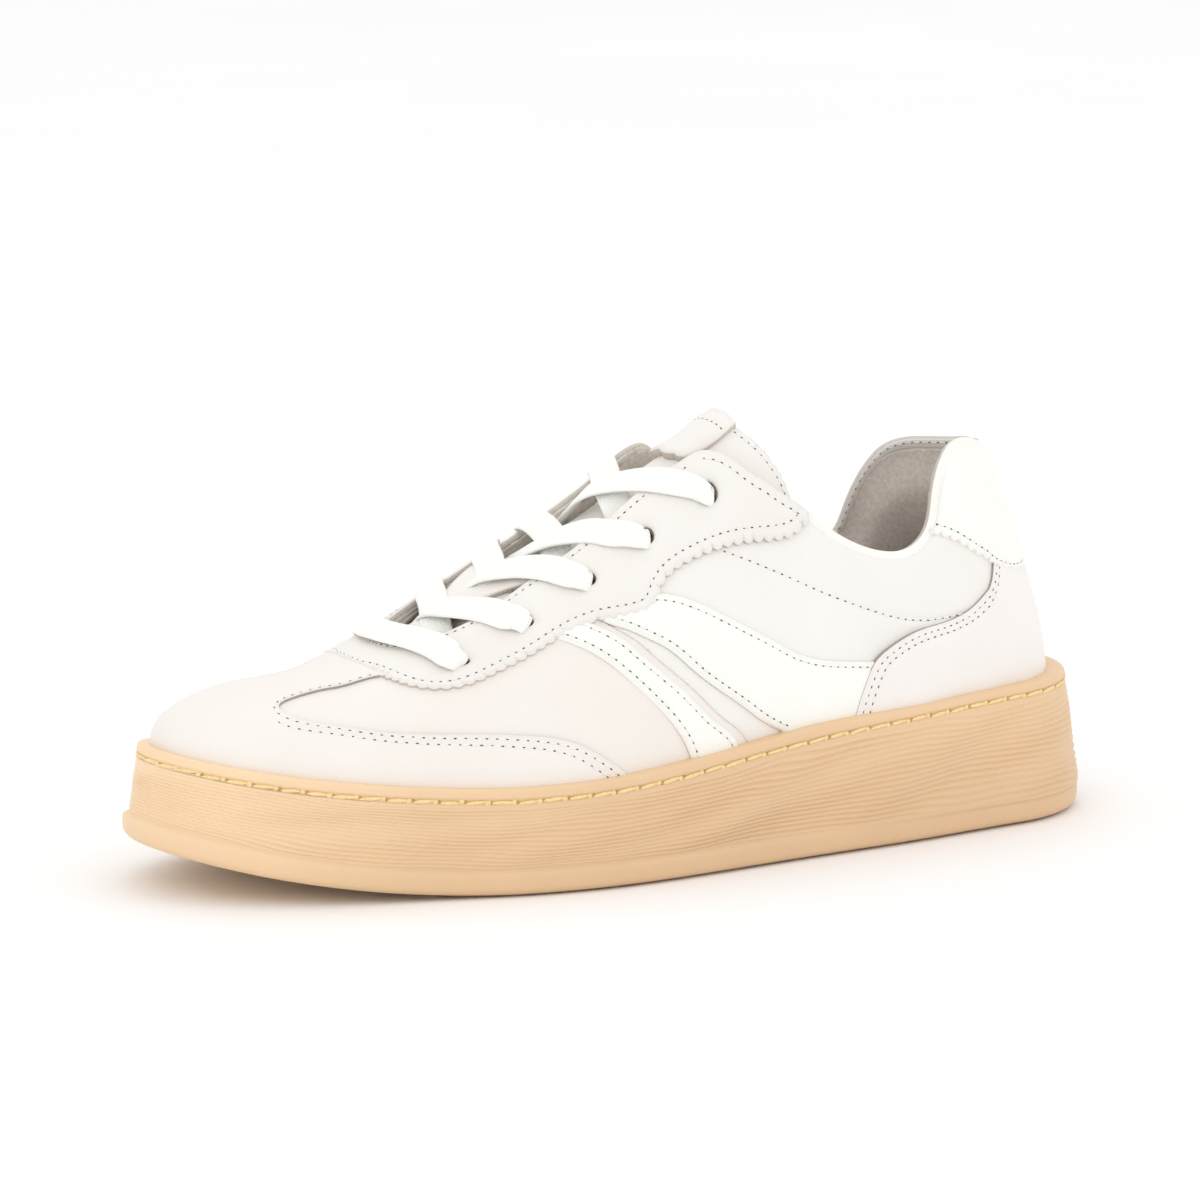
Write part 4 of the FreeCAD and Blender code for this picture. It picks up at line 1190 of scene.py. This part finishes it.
# The same from the underside of each lateral eyelet but the first, across beneath those runs, and
# over the edge of the medial facing down into its eyelet.
OVER_MEDIAL = [
    [(141.8, 21.4, BELOW, 2.2), (144.2, 16.0, -3.0, 3.6), (144.2, 10.5, -1.6, 4.0), (142.6, 5.0, 0.1, 4.1),
     (140.2, -0.5, 0.8, 4.2), (136.8, -5.5, 2.6, 4.2), (132.7, -10.4, None, 4.2), (128.4, -15.0, None, 3.9),
     (125.0, -18.0, None, 2.8), (123.0, -18.6, 2.9, 2.4), (122.3, -18.3, 0.6, 2.1),
     (122.2, -18.1, BELOW, 2.0)],
    [(159.8, 26.4, BELOW, 2.2), (162.0, 20.5, -3.2, 3.6), (162.3, 13.5, -2.8, 4.0), (161.0, 7.5, -1.6, 4.1),
     (159.2, 1.5, -1.0, 4.2), (157.6, -5.5, 0.6, 4.2), (156.2, -11.0, 2.2, 4.2), (154.2, -15.4, None, 4.2),
     (149.5, -19.5, None, 4.0), (145.0, -22.3, None, 2.8), (142.6, -22.4, 2.9, 2.4),
     (141.8, -21.9, 0.6, 2.1), (141.7, -21.7, BELOW, 2.0)],
    [(178.2, 33.0, BELOW, 2.2), (180.0, 26.0, -3.2, 3.6), (180.0, 18.5, -2.6, 4.0), (178.8, 11.5, -1.0, 4.1),
     (176.8, 4.5, 0.0, 4.2), (174.0, -2.5, 0.4, 4.2), (171.2, -9.5, 1.3, 4.2), (168.8, -14.5, 2.4, 4.2),
     (166.2, -18.3, None, 4.2), (163.5, -23.5, None, 3.9), (161.2, -27.0, None, 2.8),
     (160.2, -27.8, 2.6, 2.4), (159.7, -27.2, 0.6, 2.1), (159.6, -26.9, BELOW, 2.0)],
    [(196.2, 41.0, BELOW, 2.2), (197.6, 33.0, -3.2, 3.6), (197.0, 24.0, -2.6, 4.0), (195.4, 15.0, -1.0, 4.1),
     (193.2, 6.0, 0.0, 4.2), (190.4, -3.0, 0.5, 4.2), (187.4, -12.0, 1.2, 4.2), (185.0, -18.5, 2.3, 4.2),
     (182.8, -23.3, None, 4.2), (180.6, -29.0, None, 3.9), (179.2, -33.2, None, 2.8),
     (178.5, -34.6, 2.6, 2.4), (178.1, -33.8, 0.6, 2.1), (178.1, -33.5, BELOW, 2.0)],
]
FRONT_BAR = [(196.2, 41.7, BELOW, 2.0), (196.2, 41.9, 0.6, 2.1), (196.8, 43.2, 2.8, 2.8),
             (197.9, 41.2, 3.2, 3.6), (198.6, 37.0, 3.3, 4.3), (200.0, 30.5, 3.4, 4.4),
             (202.0, 22.5, 3.5, 4.4), (204.0, 13.0, 3.6, 4.4), (205.0, 3.0, 3.7, 4.4),
             (205.0, -8.0, 3.7, 4.4), (203.5, -20.0, 3.5, 4.4), (201.0, -31.0, 3.2, 4.2),
             (198.4, -38.8, None, 3.4), (196.7, -42.4, 2.6, 2.4), (196.2, -41.9, 0.6, 2.1),
             (196.2, -41.7, BELOW, 2.0)]


def height_at(a, b):
    """Top of the facing at a chart point."""
    return FACING[1] + float(upper_lift(np.array([[a, b]]))[0])


def ribbon(nodes):
    """Flat lace along (a, b, height, half width) nodes; it gathers and thickens where it narrows."""
    nodes = [(a, b, height_at(a, b) + RESTS_ON if h is None else h, half) for a, b, h, half in nodes]
    nodes = np.array(nodes, float)
    reach = run_of(nodes[:, :3])
    t = np.linspace(0, reach[-1], int(reach[-1] / LACE_STEP))
    a, b, height, half = (Curve(*zip(reach, nodes[:, k]))(t) for k in range(4))
    chart = np.stack([a, b], 1)
    points, normals = last_frame(chart)
    middle = points + normals * height[:, None]
    steps = np.arange(len(t))
    ahead = np.minimum(steps + HEADING_STEPS, len(t) - 1)
    heading = chart[ahead] - chart[np.maximum(steps - HEADING_STEPS, 0)]
    heading /= np.linalg.norm(heading, axis=1, keepdims=True)
    beside, _ = last_frame(chart + np.stack([-heading[:, 1], heading[:, 0]], 1) * 0.5)
    sides = beside - points
    along = np.gradient(middle, axis=0)
    along /= np.linalg.norm(along, axis=1, keepdims=True)
    sides -= (sides * along).sum(1, keepdims=True) * along
    sides /= np.linalg.norm(sides, axis=1, keepdims=True)
    depth = LACE_THICK * (LACE_HALF_WIDTH / half) ** 0.7
    return sweep(middle, sides, np.cross(along, sides), half, depth, LACE_POWER, LACE_ROUND)


def build_lace():
    ribbons = [ribbon(nodes) for nodes in OVER_LATERAL + OVER_MEDIAL + [FRONT_BAR]]
    attach([merged("lace_ribbon", ribbons, LACE)], "flex", "lace_cotton", "lace")


# ---------------------------------------------------------------- sole
WALL_DRAFT, BAND_DRAFT, BAND_HEIGHT = 4.3, 0.9, 6.5
WALL_SPAN = 24.0               # height over which the wall leans from the band to the lip
LIP_INNER, CUP_DEPTH = 12.6, 5.6
LIP_DROP = 1.6                 # the lip is lower by this much at the heel
LIP_ROUND = 1.3                # height of the lip's rounded upper edge
GROOVE_TOP, GROOVE_HEIGHT, GROOVE_DEPTH = 3.4, 2.0, 0.55
GROOVE_RAISE = 1.1             # the groove is higher by this much forward of the heel
RIBS, ROWS_A_RIB, RIB_DEPTH = 17, 6, 0.32
RIB_WARP = [(3, 1.2, 0.4, 0.45), (7, -1.0, 2.0, 0.3), (13, 1.7, 4.4, 0.2), (23, 2.3, 1.0, 0.12)]
RIB_STRENGTH = [(5, 1.0, 0.0, 0.14), (11, 1.6, 1.5, 0.14)]
TREAD_INSET, TREAD_ROWS = 3.4, 40
TREAD_BAND, TREAD_ZIGZAG, TREAD_PITCH, TREAD_DEPTH = 22.0, 14.0, 7.0, 0.9
ARC_STEPS = 6                  # points on a rounded edge of the sole
HALF_COUNT = 300               # points round one side of the sole


def ring_places(inset):
    """Stations, sides and offsets of a closed outline at an inset (one value, or one per point)."""
    t = np.linspace(0, 1, HALF_COUNT + 1)
    t = np.concatenate([t, t[-2:0:-1]])
    side = np.concatenate([np.ones(HALF_COUNT + 1), -np.ones(HALF_COUNT - 1)])
    inset = np.broadcast_to(inset, t.shape)
    f = inset + (LENGTH - 2 * inset) * (1 - np.cos(np.pi * t)) / 2
    width = np.array(half_width(f, side, inset))
    return f, side, side * width


def ring(inset, height, share=1.0):
    f, _, across = ring_places(inset)
    return np.stack([f, centre(f) + across * share, height(f)], 1)


def sole_noise(arc, v, waves):
    """Smooth variation round the sole that joins up with itself.

    A wave is (whole cycles round the sole, change of phase up the wall, phase, size).
    """
    total = 0
    for cycles, slope, phase, size in waves:
        total = total + size * np.sin(2 * np.pi * cycles * arc + slope * v + phase)
    return total


def wall_inset(drop):
    return WALL_DRAFT - (WALL_DRAFT - BAND_DRAFT) * drop / WALL_SPAN


def lip_depth(f, drop):
    """Depth below the feather line: the lip is lower at the heel, the groove higher forward of it."""
    lowered = LIP_DROP * smoothstep((105 - f) / 45)
    groove = GROOVE_TOP - GROOVE_RAISE * smoothstep((f - 60) / 60)
    return np.where(drop < GROOVE_TOP, lowered + drop * (groove - lowered) / GROOVE_TOP,
                    groove + drop - GROOVE_TOP)


def below(drop):
    return lambda f: feather(f) - lip_depth(f, drop)


def close_rings(rows):
    return np.concatenate(rows), ring_faces(len(rows), len(rows[0]))


def tread(f, o):
    """Shallow herringbone grooves under the sole."""
    band = (np.abs(o) % TREAD_BAND) / TREAD_BAND
    zigzag = np.abs(band - 0.5) * TREAD_ZIGZAG
    groove = np.cos(2 * np.pi * (f + zigzag) / TREAD_PITCH)
    return TREAD_DEPTH * smoothstep((groove - 0.35) / 0.5)


def quarter_turn():
    """Angles of a rounded edge, after its first point."""
    return np.linspace(0, np.pi / 2, ARC_STEPS)[1:]


def under_rings():
    """Tread, and the rounded edge up to the smooth band."""
    def under(rise):
        return lambda f: underside(f) + rise

    rows = []
    for share in np.linspace(0.0, 1.0, TREAD_ROWS):
        f, _, across = ring_places(TREAD_INSET)
        o = across * share
        edge = smoothstep((1 - share) * 12)
        rows.append(np.stack([f, centre(f) + o, underside(f) + tread(f, o) * edge], 1))
    for angle in quarter_turn():
        rows.append(ring(TREAD_INSET - 3.2 * math.sin(angle), under(2.6 * (1 - math.cos(angle)))))
    return rows + [ring(inset, under(rise)) for inset, rise in ((0.1, 4.2), (0.15, 5.4), (0.45, 6.1))]


def ribbed_rings():
    """Wall with uneven ribs, from the smooth band up to the stitch groove."""
    f, _, across = ring_places(0.0)
    arc = run_of(np.stack([f, across], 1))
    arc = arc / (arc[-1] + 1.0)
    low, high = underside(f) + BAND_HEIGHT, below(GROOVE_TOP + GROOVE_HEIGHT)(f)
    toe_fade = 1 - 0.35 * smoothstep((f - 130) / 70)
    rows = []
    for v in np.arange(RIBS * ROWS_A_RIB + 1) / (RIBS * ROWS_A_RIB):
        wave = np.cos(2 * np.pi * (v * RIBS + sole_noise(arc, v * 5, RIB_WARP)))
        strength = 0.72 + sole_noise(arc, v * 9, RIB_STRENGTH)
        bulge = RIB_DEPTH * strength * (np.sign(wave) * np.abs(wave) ** 0.8)
        bulge *= smoothstep(v * 18) * smoothstep((1 - v) * 14) * toe_fade
        height = low + (high - low) * v
        place, _, aside = ring_places(wall_inset(feather(f) - height) + 0.15 - bulge)
        rows.append(np.stack([place, centre(place) + aside, height], 1))
    return rows


def lip_rings():
    """Stitch groove, the rounded lip over it, and the cup inside."""
    rows = []
    for share in np.linspace(0.0, 1.0, 9)[1:-1]:
        drop = GROOVE_TOP + (1 - share) * GROOVE_HEIGHT
        rows.append(ring(wall_inset(drop) + GROOVE_DEPTH * math.sin(math.pi * share), below(drop)))
    for drop in np.linspace(GROOVE_TOP, LIP_ROUND, 4):
        rows.append(ring(wall_inset(drop) - 0.12, below(drop)))
    for angle in quarter_turn():
        inset = wall_inset(LIP_ROUND) + 1.25 * (1 - math.cos(angle))
        rows.append(ring(inset, below(LIP_ROUND * (1 - math.sin(angle)))))
    rows.append(ring(LIP_INNER - 0.8, below(0.1)))
    rows.append(ring(LIP_INNER, below(0.6)))
    return rows + [ring(LIP_INNER, below(CUP_DEPTH), share)
                   for share in (1.0, *np.linspace(1.0, 0.0, 6)[1:])]


def build_sole():
    vertices, faces = close_rings(under_rings() + ribbed_rings() + lip_rings())
    sole = new_object("cupsole_skin", to_frame(vertices), faces, GUM)
    attach([sole], "flex", "gum_rubber", "outsole_rearfoot", "outsole_forefoot")


SOLE_STITCH = 6.8


def build_sole_stitches():
    drop = GROOVE_TOP + GROOVE_HEIGHT / 2
    points = ring(wall_inset(drop) + 0.35, below(drop))
    points = np.concatenate([points, points[:1]])
    outward = ring(wall_inset(drop) - 0.8, below(drop))
    outward = np.concatenate([outward, outward[:1]]) - points
    normals = outward / np.linalg.norm(outward, axis=1, keepdims=True)
    length = run_of(points)[-1]
    count = int(round(length / SOLE_STITCH))
    gap = length / count
    middles = (np.arange(count) + 0.5) * gap
    ends = np.arange(count) * gap
    # The last kind is the darker ball at each needle hole: painted shade.
    parts = stitched(points, normals,
                     ((middles, (0.43 * gap, 0.55, 0.5), 0.0, 0.07, ball(9, 9), 0),
                      (ends + 0.3, (0.75, 0.75, 0.5), -0.1, 0.5, ball(8, 5), 0),
                      (ends - 0.75, (0.5, 0.42, 0.3), -0.02, 0.0, ball(7, 5), 1)),
                     wander=0.1, twist=0.035)
    thread = thread_object("sole_thread", parts, SOLE_THREAD, GUM_HOLE_SHADE)
    attach([thread], "flex", "sole_thread", "sole_stitching")


FOOTBED_INSET, FOOTBED_ROUND = 13.6, 1.2
FOOTBED_TOP, FOOTBED_BOTTOM = 0.1, -3.4


def build_footbed():
    """Moulded footbed: cupped at the heel, with a rounded rim."""
    def shaped(f, share):
        cup = 2.0 * share ** 3 * smoothstep((95 - f) / 60) - 0.8 * smoothstep((95 - f) / 60)
        return cup - 0.15 * np.cos(np.pi * share) * smoothstep((f - 120) / 60)

    def level(height):
        return lambda f: feather(f) + height

    rows = [ring(FOOTBED_INSET + 1, level(FOOTBED_BOTTOM), 0.0), ring(FOOTBED_INSET, level(FOOTBED_BOTTOM))]
    for angle in np.linspace(0, np.pi / 2, 5):
        drop = FOOTBED_ROUND * (1 - math.sin(angle))
        rows.append(ring(FOOTBED_INSET + FOOTBED_ROUND * (1 - math.cos(angle)),
                         lambda f: feather(f) + FOOTBED_TOP - drop + shaped(f, 1.0)))
    for share in np.linspace(1.0, 0.0, 24)[1:]:
        rows.append(ring(FOOTBED_INSET + FOOTBED_ROUND,
                         lambda f: feather(f) + FOOTBED_TOP + shaped(f, share), share))
    vertices, faces = close_rings(rows)
    bed = new_object("footbed_skin", to_frame(vertices), faces, FOOTBED)
    attach([bed], "flex", "footbed_suede", "footbed")


BOARD_INSET = 13.0
BOARD_TOP, BOARD_BOTTOM = 3.6, 5.1


def build_insole_board():
    """Follows the sole's curve, between the cup and the footbed."""
    corners = ((BOARD_BOTTOM, 0.0), (BOARD_BOTTOM, 1.0), (BOARD_TOP, 1.0), (BOARD_TOP, 0.0))
    rows = [ring(BOARD_INSET, lambda f: feather(f) - depth, share) for depth, share in corners]
    vertices, faces = close_rings(rows)
    plate = new_object("insole_board_skin", to_frame(vertices), faces, INSOLE)
    attach([plate], "flex", "board", "insole_board")


# ---------------------------------------------------------------- CAD pieces kept as they are
def dress(node, material):
    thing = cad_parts[node]
    thing.data.materials.clear()
    thing.data.materials.append(material)


def dress_kept_nodes():
    dress("heel_filler", foam("filler_foam", (222, 216, 205), (204, 197, 185), 1.4))
    dress("toe_puff", STIFFENER)


# ---------------------------------------------------------------- floor, light and camera
def area_light(name, place, target, size, power):
    light = bpy.data.lights.new(name, "AREA")
    light.shape = "DISK"
    light.size = size
    light.energy = power
    thing = bpy.data.objects.new(name, light)
    thing.location = place
    thing.rotation_euler = (Vector(target) - Vector(place)).to_track_quat("-Z", "Y").to_euler()
    bpy.context.scene.collection.objects.link(thing)


FLOOR_REACH, FLOOR_DROP = 6.0, 0.0004
# name, place, aim's height, size, power
LIGHTS = (("key", (1.1, -1.3, 1.6), 0.05, 1.1, 3.5), ("top", (-0.4, 0.2, 1.9), 0.05, 1.6, 2),
          ("back", (0.9, 1.5, 1.1), 0.06, 0.9, 1))


def build_stage():
    corners = [(x * FLOOR_REACH, y * FLOOR_REACH, -FLOOR_DROP)
               for x, y in ((-1, -1), (1, -1), (1, 1), (-1, 1))]
    floor = new_object("floor", np.array(corners), [(0, 1, 2, 3)], floor_finish(), is_smooth=False)
    world = bpy.data.worlds.new("studio")
    bpy.context.scene.world = world
    world.use_nodes = True
    background = world.node_tree.nodes["Background"]
    background.inputs["Color"].default_value = (1.0, 1.0, 1.0, 1)
    background.inputs["Strength"].default_value = 1.0
    for name, place, aim, size, power in LIGHTS:
        area_light(name, place, (0, 0, aim), size, power)
    bpy.context.scene.view_settings.view_transform = "Standard"
    bpy.context.scene.view_settings.look = "None"


CAMERA_AZIMUTH, CAMERA_ELEVATION = 60.0, 10.0
CAMERA_DISTANCE = 1.7
CAMERA_AIM, AIM_RIGHT, AIM_UP = Vector((0, 0, 0.050)), -0.0047, 0.0134
FOCAL_SHARE = 5.435            # focal length over the picture's width
SENSOR = 36.0


def build_camera():
    turn, tip = math.radians(CAMERA_AZIMUTH), math.radians(CAMERA_ELEVATION)
    back = Vector((math.sin(turn) * math.cos(tip), -math.cos(turn) * math.cos(tip), math.sin(tip)))
    right = Vector((math.cos(turn), math.sin(turn), 0))
    up = back.cross(right)
    target = CAMERA_AIM + right * AIM_RIGHT + up * AIM_UP
    data = bpy.data.cameras.new("camera")
    data.lens = FOCAL_SHARE * SENSOR
    data.sensor_width = SENSOR
    camera = bpy.data.objects.new("camera", data)
    camera.location = target + back * CAMERA_DISTANCE
    camera.rotation_euler = back.to_track_quat("Z", "Y").to_euler()
    bpy.context.scene.collection.objects.link(camera)
    bpy.context.scene.camera = camera


build_vamp()
build_toe_overlay()
build_quarters()
build_linings()
build_facing()
build_stripes()
build_heel()
build_binding()
build_stiffener()
build_tongue()
build_label()
build_lace()
build_sole()
build_sole_stitches()
build_footbed()
build_insole_board()
dress_kept_nodes()
build_stage()
build_camera()
